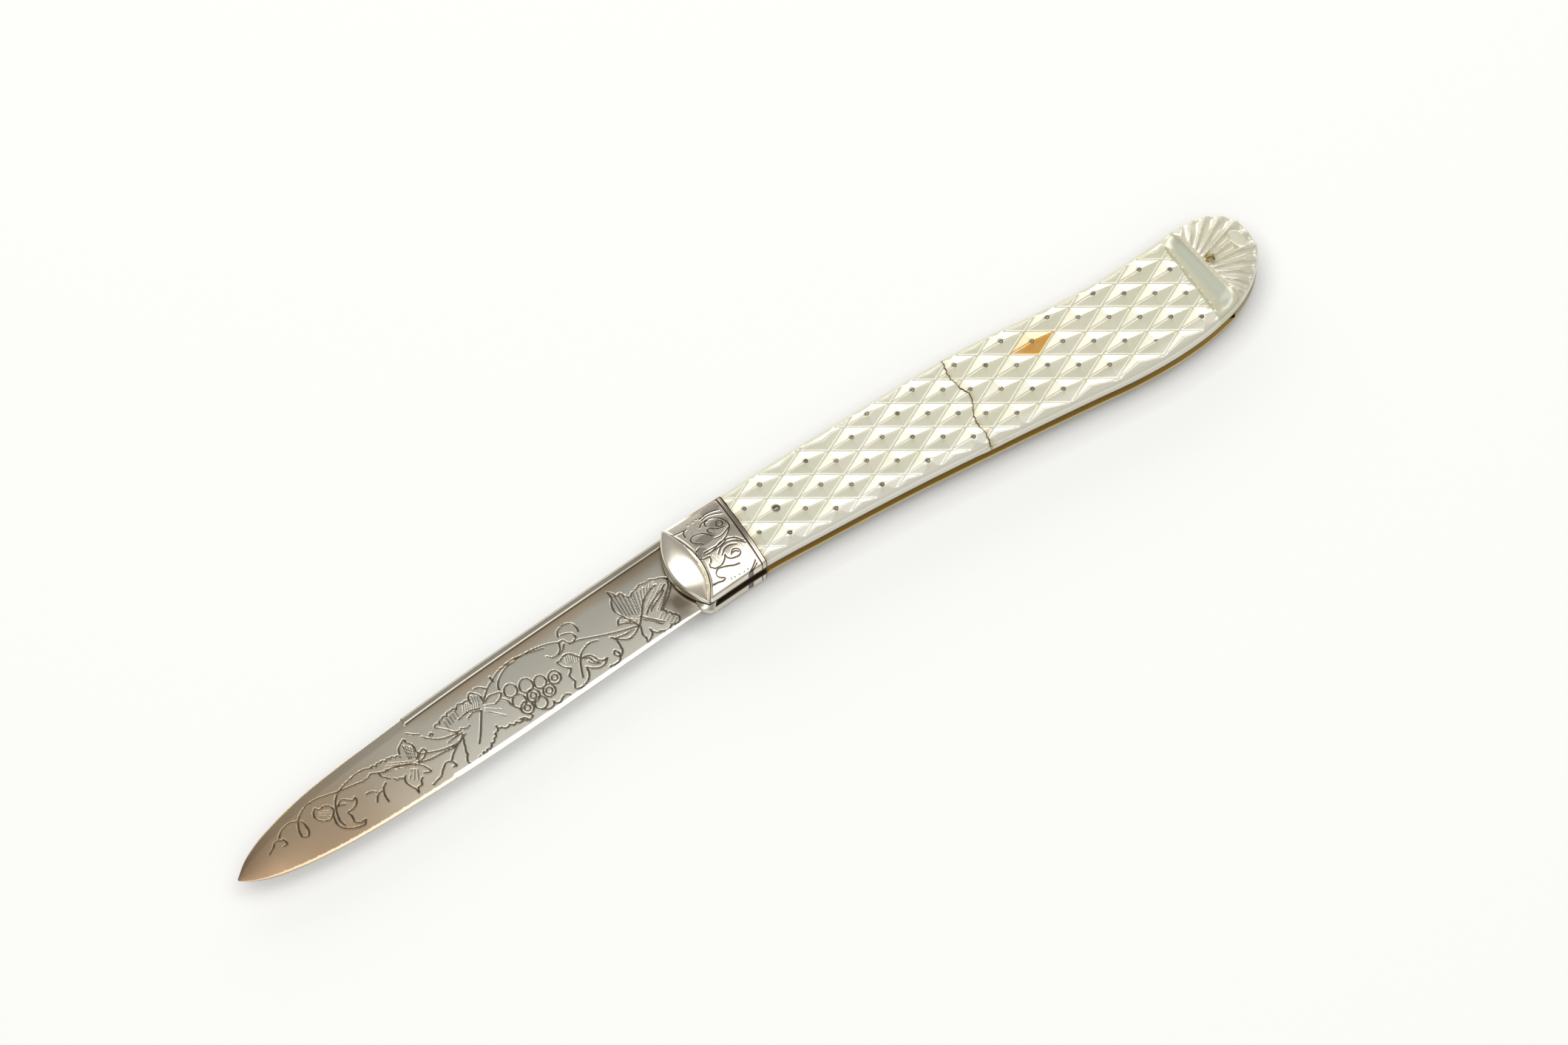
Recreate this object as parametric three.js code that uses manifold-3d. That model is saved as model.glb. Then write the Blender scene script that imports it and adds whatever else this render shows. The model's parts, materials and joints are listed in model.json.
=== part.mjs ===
// Folding fruit knife, open: a silver blade on a slip joint, silver bolsters, brass liners, a steel
// backspring, and mother-of-pearl scales carved with pyramids, each set with a small metal pin.
// Millimetres. +X runs from the blade's tip to the tail, +Y to the back, +Z out of the front face.
// Outlines are drawn with the blade's pivot at x = 0, y = 0 and the middle of the knife at z = 0.
import * as THREE from "three";
import { mergeVertices } from "three/addons/utils/BufferGeometryUtils.js";
import Module from "manifold-3d";

const wasm = await Module();
wasm.setup();

// Layers, from the middle of the knife outwards
const slotWidth = 1.3;
const linerThickness = 0.4;
const scaleThickness = 2.2;
const bolsterThickness = 2.1;

// Clearances
const tangClearance = 0.05; // on each side of the tang
const pinClearance = 0.04; // radial, round every pin and rivet
const camClearance = 0.03; // tang cam to backspring
const stopClearance = 0.1; // end of the backspring to the blade's shoulder
const jointGap = 0.05; // bolster to scale
const crackGap = 0.12; // between the two pieces of the front scale

// Handle: the rim from the lower corner of the bolster round the tail to its upper corner
const handleRim = [
  [-4.5, -5.25], [4.5, -4.75], [13.7, -5.05], [26.8, -5.69], [40, -6.72], [52.8, -7.86],
  [59.5, -8.5], [66, -8.6], [72, -7.95], [76.8, -6.6], [79.6, -4.95], [81.7, -2.9], [82.9, -1],
  [83.05, 0.8], [82.7, 3.3], [81.3, 5.15], [79.2, 6.3], [76.5, 6.65], [71, 6.25], [64.5, 5.85],
  [58, 5.95], [52, 6.4], [46, 6.95], [40, 7.25], [33, 7.25], [22, 7.1], [12.5, 6.85],
  [4.5, 6.45], [-4.5, 6.1],
];
const noseReach = 6.95; // front of the bolsters, ahead of the pivot
const noseHeight = 0.45;

// Bolsters
const bolsterRear = 4.48; // joint between bolster and scale, behind the pivot
const bolsterEdgeHeight = 1.1;
const crownOverhang = 0.6; // the crown's arc runs on past the bolster's corners
const panelDepth = 0.15; // the engraved panel lies below the dome and the rim
const rimWidth = 0.65;
const domeRear = 2.85; // rear arc of the dome, ahead of the pivot
const domeRearHeight = -0.3;
const domeRadii = [5.2, 9.5]; // along and across the knife

// Blade: x, height of the back and height of the cutting edge at each station, heel to tip
const ribEnd = -45.6; // the raised rib along the back ends here
const ribRunOut = 0.7; // length of the step at its end
const bladeStations = [
  [-4, 6.2, -5], [-13.7, 5.52, -5.75], [-24, 4.77, -6.55], [-34.7, 3.93, -7.36],
  [ribEnd, 2.87, -7.91], [ribEnd - ribRunOut, 2.79, -7.93], [-50, 2.34, -8.05], [-56, 1.6, -8.15],
  [-62, 0.6, -7.97], [-66.5, -0.58, -7.53], [-70, -1.83, -6.87], [-72.6, -3.27, -5.9],
  [-73.6, -4.1, -5.27], [-74.25, -4.65, -4.85],
];
const ribWidth = 1;
const ribStep = 0.15; // how far the rib stands above the flat, on each side
const bevelWidth = 0.95; // ground strip along the cutting edge
const bevelDrop = 0.1; // how much thinner the blade is where the strip begins, on each side
const edgeThickness = 0.16;
const stationSteps = 3;

// Tang and joint
const pivotRadius = 1.2;
const pivotDepth = 1; // how far the pivot pin goes into each bolster
const camRadius = 4.2;
const camFlatRelief = 0.12;
const closedAngle = 172; // degrees from open to closed
const shoulder = [-1.8, 6.25]; // upper corner of the tang, against the backspring's end
const heel = [-4.4, -5.2];
const tangFront = -4.4;

// Backspring
const bearingRear = 2.2; // rear end of the face that bears on the tang
const springInside = [
  [3.6, 4.85], [14, 4.5], [30, 4.05], [40, 3.7], [50, 3.1], [60, 1.9], [66, 0.6], [70, -0.7],
  [73.3, -3], [75, -5.5], [75.3, -9.5],
];
const springRivetAt = [40, 5.4];
const springRivetRadius = 0.7;

// Scales
const edgeRadius = 2.6; // width of the rounded rim, across the scale
const edgeDrop = 1.4; // height of the rounded rim
const latticeTurn = -3; // degrees from +X to the long axis of the pyramids
const latticeHalfAngle = 29.7; // degrees from that axis to each family of grooves
const foreLattice = { apex: [26.33, 1.79], pitch: 3.91 };
const rearLattice = { apex: [60.42, 0.25], pitch: 4 };
const grooveDepth = 0.75;
const secondCutRise = 0.03; // the second family of grooves is this much shallower
const apexFlat = 0.5;
const crackLine = [
  [39.4, 12], [39, 6.8], [38.5, 5.4], [38.9, 2.9], [38.7, -1], [37.9, -3.7], [38.4, -7.1], [38.4, -12],
];
const bandAt = 74; // middle of the hollow band across the handle
const bandTurn = 3.5; // degrees
const bandWidth = 2.9;
const bandDepth = 0.85;
const fluteCount = 17;
const fluteSpread = 205; // degrees round the tail
const fluteDepth = 1.4; // at the outer end
const fluteStart = 1.2; // distance from the tail rivet
const fluteLength = 9;
const ridgeHalf = 0.05; // half the ridge left between two flutes at the outer end
const fluteStartRise = 0.06; // each flute's point, above the top of the scale
const tailRivetAt = [76.2, 0.2];
const tailRivetRadius = 0.6;
const scaleRivetAt = [9.43, 0.8];
const scaleRivetRadius = 0.5;
const rivetRecess = 0.1; // rivet ends below the tops of the pyramids

// Small pins in the tops of the pyramids
const pinRadius = 0.3;
const pinLength = 1.2;
const pinMargin = 1.4; // least distance from a pin's centre to the edge of the scale
const pinsModelled = 46; // pieces made of their own, those deepest inside the scale

// Facets
const rimPoints = 64;
const edgeSteps = 3;
const arcPoints = 10;
const roundSides = 24;
const pinSides = 8;
const beyond = 30; // a length that reaches past every piece, for cutters
const latticeReach = 90; // how far the pattern is laid out from its first apex

const slotHalf = slotWidth / 2;
const scaleBase = slotHalf + linerThickness;
const scaleTop = scaleBase + scaleThickness;
const bolsterTop = scaleBase + bolsterThickness;
const radians = THREE.MathUtils.degToRad;

// A closed geometry as a solid, and a solid as a geometry
function solid(geometry) {
  geometry.deleteAttribute("normal");
  geometry.deleteAttribute("uv");
  const merged = mergeVertices(geometry, 1e-5);
  return new wasm.Manifold(
    new wasm.Mesh({
      numProp: 3,
      vertProperties: new Float32Array(merged.attributes.position.array),
      triVerts: new Uint32Array(merged.index.array),
    }),
  );
}

function geometryOf(body) {
  const { numProp, vertProperties, triVerts } = body.getMesh();
  const geometry = new THREE.BufferGeometry();
  const positions = new THREE.InterleavedBuffer(vertProperties, numProp);
  geometry.setAttribute("position", new THREE.InterleavedBufferAttribute(positions, 3, 0));
  geometry.setIndex(new THREE.BufferAttribute(triVerts, 1));
  const flat = geometry.toNonIndexed();
  flat.computeVertexNormals();
  return flat;
}

const vectors = (points) => points.map(([x, y]) => new THREE.Vector2(x, y));

function circle([x, y], radius, sides) {
  return Array.from({ length: sides }, (_, i) => {
    const angle = (2 * Math.PI * i) / sides;
    return new THREE.Vector2(x + radius * Math.cos(angle), y + radius * Math.sin(angle));
  });
}

function carried(outline, from, to, holes = []) {
  const shape = new THREE.Shape(outline);
  shape.holes = holes.map((hole) => new THREE.Path(hole));
  const geometry = new THREE.ExtrudeGeometry(shape, { depth: to - from, bevelEnabled: false });
  return geometry.translate(0, 0, from);
}

// An outline in x and y carried up from one height to another
const prism = (outline, bottom, top, holes) => solid(carried(outline, bottom, top, holes));

// A profile in y and z carried along x
const alongX = new THREE.Matrix4().makeBasis(
  new THREE.Vector3(0, 1, 0),
  new THREE.Vector3(0, 0, 1),
  new THREE.Vector3(1, 0, 0),
);
const beam = (profile, from, to) => carried(vectors(profile), from, to).applyMatrix4(alongX);

function block(low, high) {
  const size = high.map((v, i) => v - low[i]);
  const middle = high.map((v, i) => (v + low[i]) / 2);
  return solid(new THREE.BoxGeometry(...size).translate(...middle));
}

// Holes are cut a clearance wider than the pin, measured to the middle of their facets
const holeFor = (at, radius, sides) =>
  circle(at, (radius + pinClearance) / Math.cos(Math.PI / sides), sides);

const roundPin = (at, radius, sides, bottom, top) => prism(circle(at, radius, sides), bottom, top);

// The handle's outline, with the rounded nose of the bolsters
const upperCorner = handleRim[handleRim.length - 1];
const lowerCorner = handleRim[0];

function arcThrough(start, middle, end) {
  const control = middle.map((v, i) => 2 * v - (start[i] + end[i]) / 2);
  const [a, b, c] = vectors([start, control, end]);
  return new THREE.QuadraticBezierCurve(a, b, c).getPoints(arcPoints);
}

const rim = new THREE.SplineCurve(vectors(handleRim)).getSpacedPoints(rimPoints);
const nose = arcThrough(upperCorner, [-noseReach, noseHeight], lowerCorner);
const handleOutline = [...rim, ...nose.slice(1, -1)];

function distanceToOutline(x, y) {
  const point = new THREE.Vector3(x, y, 0);
  const nearest = new THREE.Vector3();
  const gaps = handleOutline.map((p, i) => {
    const q = handleOutline[(i + 1) % handleOutline.length];
    const side = new THREE.Line3(new THREE.Vector3(p.x, p.y, 0), new THREE.Vector3(q.x, q.y, 0));
    return side.closestPointToPoint(point, true, nearest).distanceTo(point);
  });
  return Math.min(...gaps);
}

// Blade: sections from back to edge, joined from heel to tip, and the tang with its cam
function bladeSection(x, back, edge) {
  const width = back - edge;
  const thick = slotHalf - tangClearance;
  const ribHalf = x >= ribEnd ? thick : thick - ribStep;
  const flatHalf = thick - ribStep;
  const lowHalf = flatHalf - bevelDrop;
  const share = Math.min(1, width / (3 * (ribWidth + bevelWidth)));
  const ribLine = back - ribWidth * share;
  const flatLine = back - (ribWidth + ribStep) * share;
  const bevelLine = edge + bevelWidth * share;
  const half = [
    [back, ribHalf * share],
    [ribLine, ribHalf * share],
    [flatLine, flatHalf * share],
    [bevelLine, lowHalf * share],
    [edge, (edgeThickness / 2) * share],
  ];
  const under = half.map(([y, z]) => [y, -z]).reverse();
  return [...half, ...under].map(([y, z]) => new THREE.Vector3(x, y, z));
}

// Rings of equal count joined in order; each ring runs anticlockwise seen against the way they follow
function loft(rings, flatten) {
  const count = rings[0].length;
  const last = (rings.length - 1) * count;
  const index = [];
  for (let s = 0; s < rings.length - 1; s++) {
    for (let i = 0; i < count; i++) {
      const a = s * count + i;
      const b = s * count + ((i + 1) % count);
      index.push(a, b, a + count, b, b + count, a + count);
    }
  }
  for (const [a, b, c] of THREE.ShapeUtils.triangulateShape(rings[0].map(flatten), [])) {
    index.push(a, c, b);
  }
  for (const [a, b, c] of THREE.ShapeUtils.triangulateShape(rings.at(-1).map(flatten), [])) {
    index.push(last + a, last + b, last + c);
  }
  return solid(new THREE.BufferGeometry().setFromPoints(rings.flat()).setIndex(index));
}

function bladeBody() {
  const path = new THREE.CatmullRomCurve3(
    bladeStations.map((station) => new THREE.Vector3(...station)),
    false,
    "chordal",
  );
  const steps = (bladeStations.length - 1) * stationSteps;
  const sections = path.getPoints(steps).map((p) => bladeSection(p.x, p.y, p.z));
  return loft(sections.reverse(), (p) => new THREE.Vector2(p.y, p.z));
}

// Distance from the pivot to the cam: round, with a flat that faces the backspring when the blade
// is open and one that faces it when the blade is closed
function camReach(angle) {
  const flats = [radians(90), radians(90 - closedAngle)];
  const reaches = flats.map((flat) => {
    const across = Math.cos(angle - flat);
    return across > 0 ? (camRadius - camFlatRelief) / across : Infinity;
  });
  return Math.min(camRadius, ...reaches);
}

function tang() {
  const start = Math.acos(shoulder[0] / camRadius);
  const end = -Math.acos(shoulder[0] / camRadius);
  const cam = Array.from({ length: 2 * roundSides + 1 }, (_, i) => {
    const angle = start + ((end - start) * i) / (2 * roundSides);
    const reach = camReach(angle);
    return new THREE.Vector2(reach * Math.cos(angle), reach * Math.sin(angle));
  });
  const outline = [...vectors([heel, [tangFront, shoulder[1]], shoulder]), ...cam];
  const thick = slotHalf - tangClearance;
  return prism(outline, -thick, thick);
}

function blade() {
  const hole = prism(holeFor([0, 0], pivotRadius, roundSides), -beyond, beyond);
  return bladeBody().add(tang()).subtract(hole);
}

// Backspring: the handle's outline, less the room for the blade
function backspring() {
  const bearing = camRadius + camClearance;
  const end = shoulder[0] + stopClearance;
  const inside = new THREE.SplineCurve(vectors(springInside)).getPoints(4 * springInside.length);
  const tail = handleRim.reduce((most, [x]) => Math.max(most, x), 0) + beyond;
  const region = [
    ...vectors([[end, beyond], [end, bearing], [bearingRear, bearing]]),
    ...inside,
    ...vectors([[tail, -beyond], [tail, beyond]]),
  ];
  const holes = [
    holeFor(springRivetAt, springRivetRadius, roundSides),
    holeFor(tailRivetAt, tailRivetRadius, roundSides),
  ];
  return prism(handleOutline, -slotHalf, slotHalf, holes).intersect(prism(region, -slotHalf, slotHalf));
}

function liner() {
  const holes = [
    holeFor([0, 0], pivotRadius, roundSides),
    holeFor(springRivetAt, springRivetRadius, roundSides),
    holeFor(tailRivetAt, tailRivetRadius, roundSides),
    holeFor(scaleRivetAt, scaleRivetRadius, roundSides),
  ];
  return prism(handleOutline, slotHalf, scaleBase, holes);
}

// Bolster: a crowned panel between a domed lens at the nose and a narrow rim at the joint
function crown(top, from, to) {
  const middle = (upperCorner[1] + lowerCorner[1]) / 2;
  const half = (upperCorner[1] - lowerCorner[1]) / 2 + crownOverhang;
  const edge = scaleBase + bolsterEdgeHeight;
  const arc = Array.from({ length: 2 * arcPoints + 1 }, (_, i) => {
    const t = 1 - i / arcPoints;
    return [middle + t * half, edge + (top - edge) * (1 - t * t)];
  });
  return solid(beam([[middle - half, scaleBase], [middle + half, scaleBase], ...arc], from, to));
}

function bolster() {
  const blank = prism(handleOutline, scaleBase, bolsterTop);
  const panel = crown(bolsterTop - panelDepth, -beyond, bolsterRear);
  const band = crown(bolsterTop, bolsterRear - rimWidth, bolsterRear);
  const lensRear = arcThrough(lowerCorner, [-domeRear, domeRearHeight], upperCorner);
  const lens = prism([...nose.slice(0, -1), ...lensRear.slice(0, -1)], scaleBase, bolsterTop);
  const ball = new THREE.SphereGeometry(1, 2 * roundSides, roundSides);
  ball.scale(...domeRadii, bolsterThickness);
  const dome = solid(ball.translate(-(noseReach + domeRear) / 2, noseHeight, scaleBase));
  const hole = prism(
    holeFor([0, 0], pivotRadius, roundSides),
    scaleBase - pivotDepth,
    scaleBase + pivotDepth,
  );
  return blank.intersect(panel).add(blank.intersect(band)).add(lens.intersect(dome)).subtract(hole);
}

// Scale: a slab with a rounded rim, cut by two families of grooves, a hollow band and a fan of flutes
function slab() {
  const inwards = rim.map((p, i) => {
    const [before, after] = [rim[Math.max(0, i - 1)], rim[Math.min(rim.length - 1, i + 1)]];
    return new THREE.Vector2(before.y - after.y, after.x - before.x).normalize();
  });
  const ring = (inset, z) =>
    rim.map((p, i) => new THREE.Vector3(p.x + inwards[i].x * inset, p.y + inwards[i].y * inset, z));
  const rounds = Array.from({ length: edgeSteps + 1 }, (_, k) => {
    const turn = (Math.PI / 2) * (k / edgeSteps);
    return ring(edgeRadius * (1 - Math.cos(turn)), scaleTop - edgeDrop * (1 - Math.sin(turn)));
  });
  const whole = loft([ring(0, scaleBase), ...rounds], (p) => new THREE.Vector2(p.x, p.y));
  return whole.subtract(block([-beyond, -beyond, 0], [bolsterRear + jointGap, beyond, 2 * scaleTop]));
}

const bandStart = bandAt - bandWidth / 2;

function latticeAxes(pitch) {
  return [latticeTurn - latticeHalfAngle, latticeTurn + latticeHalfAngle].map((degrees) => ({
    turn: radians(degrees),
    step: new THREE.Vector2(pitch, 0).rotateAround(new THREE.Vector2(), radians(degrees)),
  }));
}

function apexes({ apex, pitch }) {
  const [a, b] = latticeAxes(pitch).map((axis) => axis.step);
  const reach = Math.ceil(latticeReach / pitch);
  const found = [];
  for (let i = -reach; i <= reach; i++) {
    for (let j = -reach; j <= reach; j++) {
      found.push(new THREE.Vector2(...apex).addScaledVector(a, i).addScaledVector(b, j));
    }
  }
  return found;
}

// Vee grooves midway between the rows of apexes, one family along each axis of the lattice
function grooves({ apex, pitch }) {
  const spacing = pitch * Math.sin(radians(2 * latticeHalfAngle));
  const lines = Math.ceil(latticeReach / spacing);
  const axes = latticeAxes(pitch);
  return axes.flatMap(({ turn }, family) => {
    const floor = scaleTop - grooveDepth + family * secondCutRise;
    const brim = floor + 2 * grooveDepth; // the vee goes on as far above the scale as below
    const vee = [[0, floor], [spacing - apexFlat, brim], [apexFlat - spacing, brim]];
    return Array.from({ length: 2 * lines }, (_, line) => {
      const across = axes[1 - family].step;
      const place = new THREE.Vector2(...apex).addScaledVector(across, line - lines + 0.5);
      const cut = beam(vee, -2 * latticeReach, 2 * latticeReach);
      return solid(cut.rotateZ(turn).translate(place.x, place.y, 0));
    });
  });
}

function bandCut() {
  const radius = (bandWidth * bandWidth) / 4 / (2 * bandDepth) + bandDepth / 2;
  const geometry = new THREE.CylinderGeometry(radius, radius, 2 * beyond, roundSides);
  geometry.rotateZ(radians(bandTurn)).translate(bandAt, 0, scaleTop - bandDepth + radius);
  return solid(geometry);
}

// One flute of the fan: a vee that widens and deepens away from the tail rivet
function fluteCut(angle) {
  const end = fluteStart + fluteLength;
  const half = end * Math.tan(radians(fluteSpread / fluteCount / 2)) - ridgeHalf;
  const corners = [
    [fluteStart, 0, scaleTop + fluteStartRise],
    [end, 0, scaleTop - fluteDepth],
    [end, half, scaleTop + fluteDepth],
    [end, -half, scaleTop + fluteDepth],
  ].map((corner) => new THREE.Vector3(...corner));
  const geometry = new THREE.BufferGeometry().setFromPoints(corners);
  geometry.setIndex([0, 2, 1, 0, 1, 3, 0, 3, 2, 1, 2, 3]);
  return solid(geometry.rotateZ(angle).translate(...tailRivetAt, 0));
}

function carvedScale(lattice) {
  let body = slab();
  const latticeRoom = block([-beyond, -beyond, 0], [bandAt, beyond, 2 * scaleTop]);
  for (const cut of grooves(lattice)) {
    body = body.subtract(cut.intersect(latticeRoom));
  }
  body = body.subtract(bandCut());
  for (let i = 0; i < fluteCount; i++) {
    body = body.subtract(fluteCut(radians(((i + 0.5) / fluteCount - 0.5) * fluteSpread)));
  }
  for (const [at, radius] of [[tailRivetAt, tailRivetRadius], [scaleRivetAt, scaleRivetRadius]]) {
    body = body.subtract(prism(holeFor(at, radius, roundSides), -beyond, beyond));
  }
  return body;
}

// The front scale is in two pieces, parted along the crack
const crackAt = (y) => {
  const k = Math.max(1, crackLine.findIndex((p) => p[1] <= y));
  const [[x0, y0], [x1, y1]] = [crackLine[k - 1], crackLine[k]];
  return x0 + ((x1 - x0) * (y - y0)) / (y1 - y0);
};

function crackSide(direction) {
  const edge = crackLine.map(([x, y]) => [x + (direction * crackGap) / 2, y]);
  const far = direction * 4 * beyond;
  const outline = [...edge, [far, crackLine.at(-1)[1]], [far, crackLine[0][1]]];
  return prism(vectors(direction > 0 ? outline : outline.reverse()), 0, 2 * scaleTop);
}

function pinPlaces() {
  const clear = pinRadius + pinClearance + crackGap;
  const rivet = new THREE.Vector2(...scaleRivetAt);
  const sides = [[foreLattice, -1], [rearLattice, 1]];
  const candidates = sides.flatMap(([lattice, side]) =>
    apexes(lattice)
      .filter((p) => p.x > bolsterRear + pinMargin && p.x < bandStart - pinMargin)
      .filter((p) => Math.abs(p.y) < -crackLine.at(-1)[1] && side * (p.x - crackAt(p.y)) > clear)
      .filter((p) => p.y > rimHeights(p.x)[0] && p.y < rimHeights(p.x)[1])
      .filter((p) => p.distanceTo(rivet) > scaleRivetRadius + pinRadius + pinMargin / 2),
  );
  const inside = candidates
    .map((p) => ({ p, depth: Math.min(distanceToOutline(p.x, p.y), p.x - bolsterRear, bandStart - p.x) }))
    .filter(({ depth }) => depth > pinMargin)
    .sort((one, other) => other.depth - one.depth);
  return inside.slice(0, pinsModelled).map(({ p }) => [p.x, p.y]);
}

// Lowest and highest point of the handle at a place along it
function rimHeights(x) {
  const crossings = rim.slice(1).flatMap((q, i) => {
    const p = rim[i];
    const passes = p.x <= x !== q.x <= x;
    return passes ? [p.y + ((q.y - p.y) * (x - p.x)) / (q.x - p.x)] : [];
  });
  return [Math.min(...crossings), Math.max(...crossings)];
}

// Materials
const silver = () => new THREE.MeshStandardMaterial({ color: 0xb4aea4, roughness: 0.3, metalness: 1 });
const brass = () => new THREE.MeshStandardMaterial({ color: 0xa5803c, roughness: 0.4, metalness: 1 });
const steel = () => new THREE.MeshStandardMaterial({ color: 0x77746e, roughness: 0.45, metalness: 1 });
const pearl = () => new THREE.MeshStandardMaterial({ color: 0xe6e3d2, roughness: 0.25, metalness: 0 });

const knife = new THREE.Group();

function place(name, body, material, mirrored = false) {
  const mesh = new THREE.Mesh(geometryOf(body), material);
  mesh.name = name;
  mesh.scale.z = mirrored ? -1 : 1;
  knife.add(mesh);
}

const linerBody = liner();
const bolsterBody = bolster();
const pins = pinPlaces();
const pinFoot = scaleTop - pinLength;
let foreScale = carvedScale(foreLattice).intersect(crackSide(-1));
let rearScale = carvedScale(rearLattice).intersect(crackSide(1));
for (const at of pins) {
  const hole = prism(holeFor(at, pinRadius, pinSides), pinFoot, 2 * scaleTop);
  foreScale = foreScale.subtract(hole);
  rearScale = rearScale.subtract(hole);
}
const rivetTop = scaleTop - rivetRecess;
const pivotTop = scaleBase + pivotDepth;
const scaleRivet = roundPin(scaleRivetAt, scaleRivetRadius, roundSides, slotHalf, rivetTop);

place("blade", blade(), silver());
place("backspring", backspring(), steel());
place("liner_front", linerBody, brass());
place("liner_back", linerBody, brass(), true);
place("bolster_front", bolsterBody, silver());
place("bolster_back", bolsterBody, silver(), true);
place("scale_front_fore", foreScale, pearl());
place("scale_front_rear", rearScale, pearl());
place("scale_back", carvedScale(rearLattice), pearl(), true);
place("pivot_pin", roundPin([0, 0], pivotRadius, roundSides, -pivotTop, pivotTop), steel());
place(
  "spring_rivet",
  roundPin(springRivetAt, springRivetRadius, roundSides, -scaleBase, scaleBase),
  brass(),
);
place("tail_rivet", roundPin(tailRivetAt, tailRivetRadius, roundSides, -rivetTop, rivetTop), brass());
place("scale_rivet_front", scaleRivet, brass());
place("scale_rivet_back", scaleRivet, brass(), true);
pins.forEach((at, i) => {
  const pin = roundPin(at, pinRadius, pinSides, pinFoot, scaleTop);
  place(`scale_pin_${String(i + 1).padStart(2, "0")}`, pin, silver());
});

// The knife lies on its back scale, with the middle of that rest at the origin
const box = new THREE.Box3().setFromObject(knife);
const middle = box.getCenter(new THREE.Vector3());
knife.position.set(-middle.x, -middle.y, -box.min.z);

export default knife;
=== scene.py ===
import json
import math

import bpy
import numpy as np
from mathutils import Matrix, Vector


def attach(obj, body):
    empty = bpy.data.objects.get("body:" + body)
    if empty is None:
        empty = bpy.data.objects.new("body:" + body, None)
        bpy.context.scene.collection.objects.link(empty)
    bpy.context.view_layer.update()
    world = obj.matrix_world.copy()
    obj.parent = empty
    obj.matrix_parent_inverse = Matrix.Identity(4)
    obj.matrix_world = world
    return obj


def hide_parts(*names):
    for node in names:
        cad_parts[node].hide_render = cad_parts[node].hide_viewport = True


# Folding fruit knife, open. Shapes are worked out in mm with the blade's pivot at x = 0, y = 0
# and the middle of the knife at z = 0, then put in the row frame in metres.
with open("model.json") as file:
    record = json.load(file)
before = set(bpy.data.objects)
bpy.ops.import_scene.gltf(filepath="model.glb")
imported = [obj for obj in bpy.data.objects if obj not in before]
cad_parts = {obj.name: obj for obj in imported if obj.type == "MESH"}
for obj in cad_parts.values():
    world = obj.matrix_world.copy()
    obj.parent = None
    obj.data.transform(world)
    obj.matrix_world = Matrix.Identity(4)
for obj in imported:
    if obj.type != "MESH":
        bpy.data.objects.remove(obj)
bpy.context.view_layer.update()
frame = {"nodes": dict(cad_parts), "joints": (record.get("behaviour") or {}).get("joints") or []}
pivotAt = np.array(frame["joints"][0]["pos_m"]) * 1000
scene = bpy.context.scene
scene.view_settings.view_transform = "Standard"
print("frame loaded")

# Camera
view = {
    "azimuth": -33.0,
    "elevation": 64.5,
    "distance": 900.0,
    "middle": (6.39, 1.684, 0.0),  # the point of the floor in the middle of the picture, row frame
    "mmPerPixel": 0.095,  # at that point
    "pixels": (2120, 1413),
    "sensor": 36.0,
}


# Right, up and back of the camera, from the two angles it is turned by
def cameraAxes():
    a, e = math.radians(view["azimuth"]), math.radians(view["elevation"])
    back = np.array([math.sin(a) * math.cos(e), -math.cos(a) * math.cos(e), math.sin(e)])
    right = np.array([math.cos(a), math.sin(a), 0.0])
    return right, np.cross(back, right), back


# The points of a level plane that are seen at these pixels: each ray from the camera is
# followed down until it meets the plane
def onFace(pixels, height):
    right, up, back = cameraAxes()
    eye = np.array(view["middle"]) + view["distance"] * back
    across = np.asarray(pixels, float) - np.array(view["pixels"]) / 2
    focal = view["distance"] / view["mmPerPixel"]
    rays = across[:, :1] * right - across[:, 1:] * up - focal * back
    reach = (height + pivotAt[2] - eye[2]) / rays[:, 2]
    return (eye + reach[:, None] * rays - pivotAt)[:, :2]


# The photograph's camera: focal length = sensor width x distance / width of the picture at the knife
def makeCamera():
    right, up, back = cameraAxes()
    lens = bpy.data.cameras.new("camera")
    lens.sensor_width = view["sensor"]
    lens.lens = view["sensor"] * view["distance"] / view["mmPerPixel"] / view["pixels"][0]
    lens.clip_start, lens.clip_end = 0.01, 20.0
    camera = bpy.data.objects.new("camera", lens)
    camera.location = Vector((np.array(view["middle"]) + view["distance"] * back) * 0.001)
    camera.rotation_mode = "QUATERNION"
    camera.rotation_quaternion = Vector(-back).to_track_quat("-Z", "Y")
    scene.collection.objects.link(camera)
    scene.camera = camera


makeCamera()


# Curves and fields

# Chordal Catmull-Rom: a cubic between each two points, whose end slopes weigh the chords on
# either side by their lengths
def smoothThrough(points, steps):
    p = np.asarray(points, float)
    p = np.vstack([2 * p[0] - p[1], p, 2 * p[-1] - p[-2]])
    chord = np.maximum(np.linalg.norm(np.diff(p, axis=0), axis=1)[:, None], 1e-6)
    d0, d1, d2 = chord[:-2], chord[1:-1], chord[2:]
    p0, p1, p2, p3 = p[:-3], p[1:-2], p[2:-1], p[3:]
    m1 = d1 * ((p1 - p0) / d0 - (p2 - p0) / (d0 + d1) + (p2 - p1) / d1)
    m2 = d1 * ((p2 - p1) / d1 - (p3 - p1) / (d1 + d2) + (p3 - p2) / d2)
    t = np.linspace(0, 1, steps, endpoint=False)[None, :, None]
    curve = (
        (2 * t**3 - 3 * t**2 + 1) * p1[:, None]
        + (t**3 - 2 * t**2 + t) * m1[:, None]
        + (3 * t**2 - 2 * t**3) * p2[:, None]
        + (t**3 - t**2) * m2[:, None]
    )
    return np.vstack([curve.reshape(-1, p.shape[1]), p[-2]])


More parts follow.
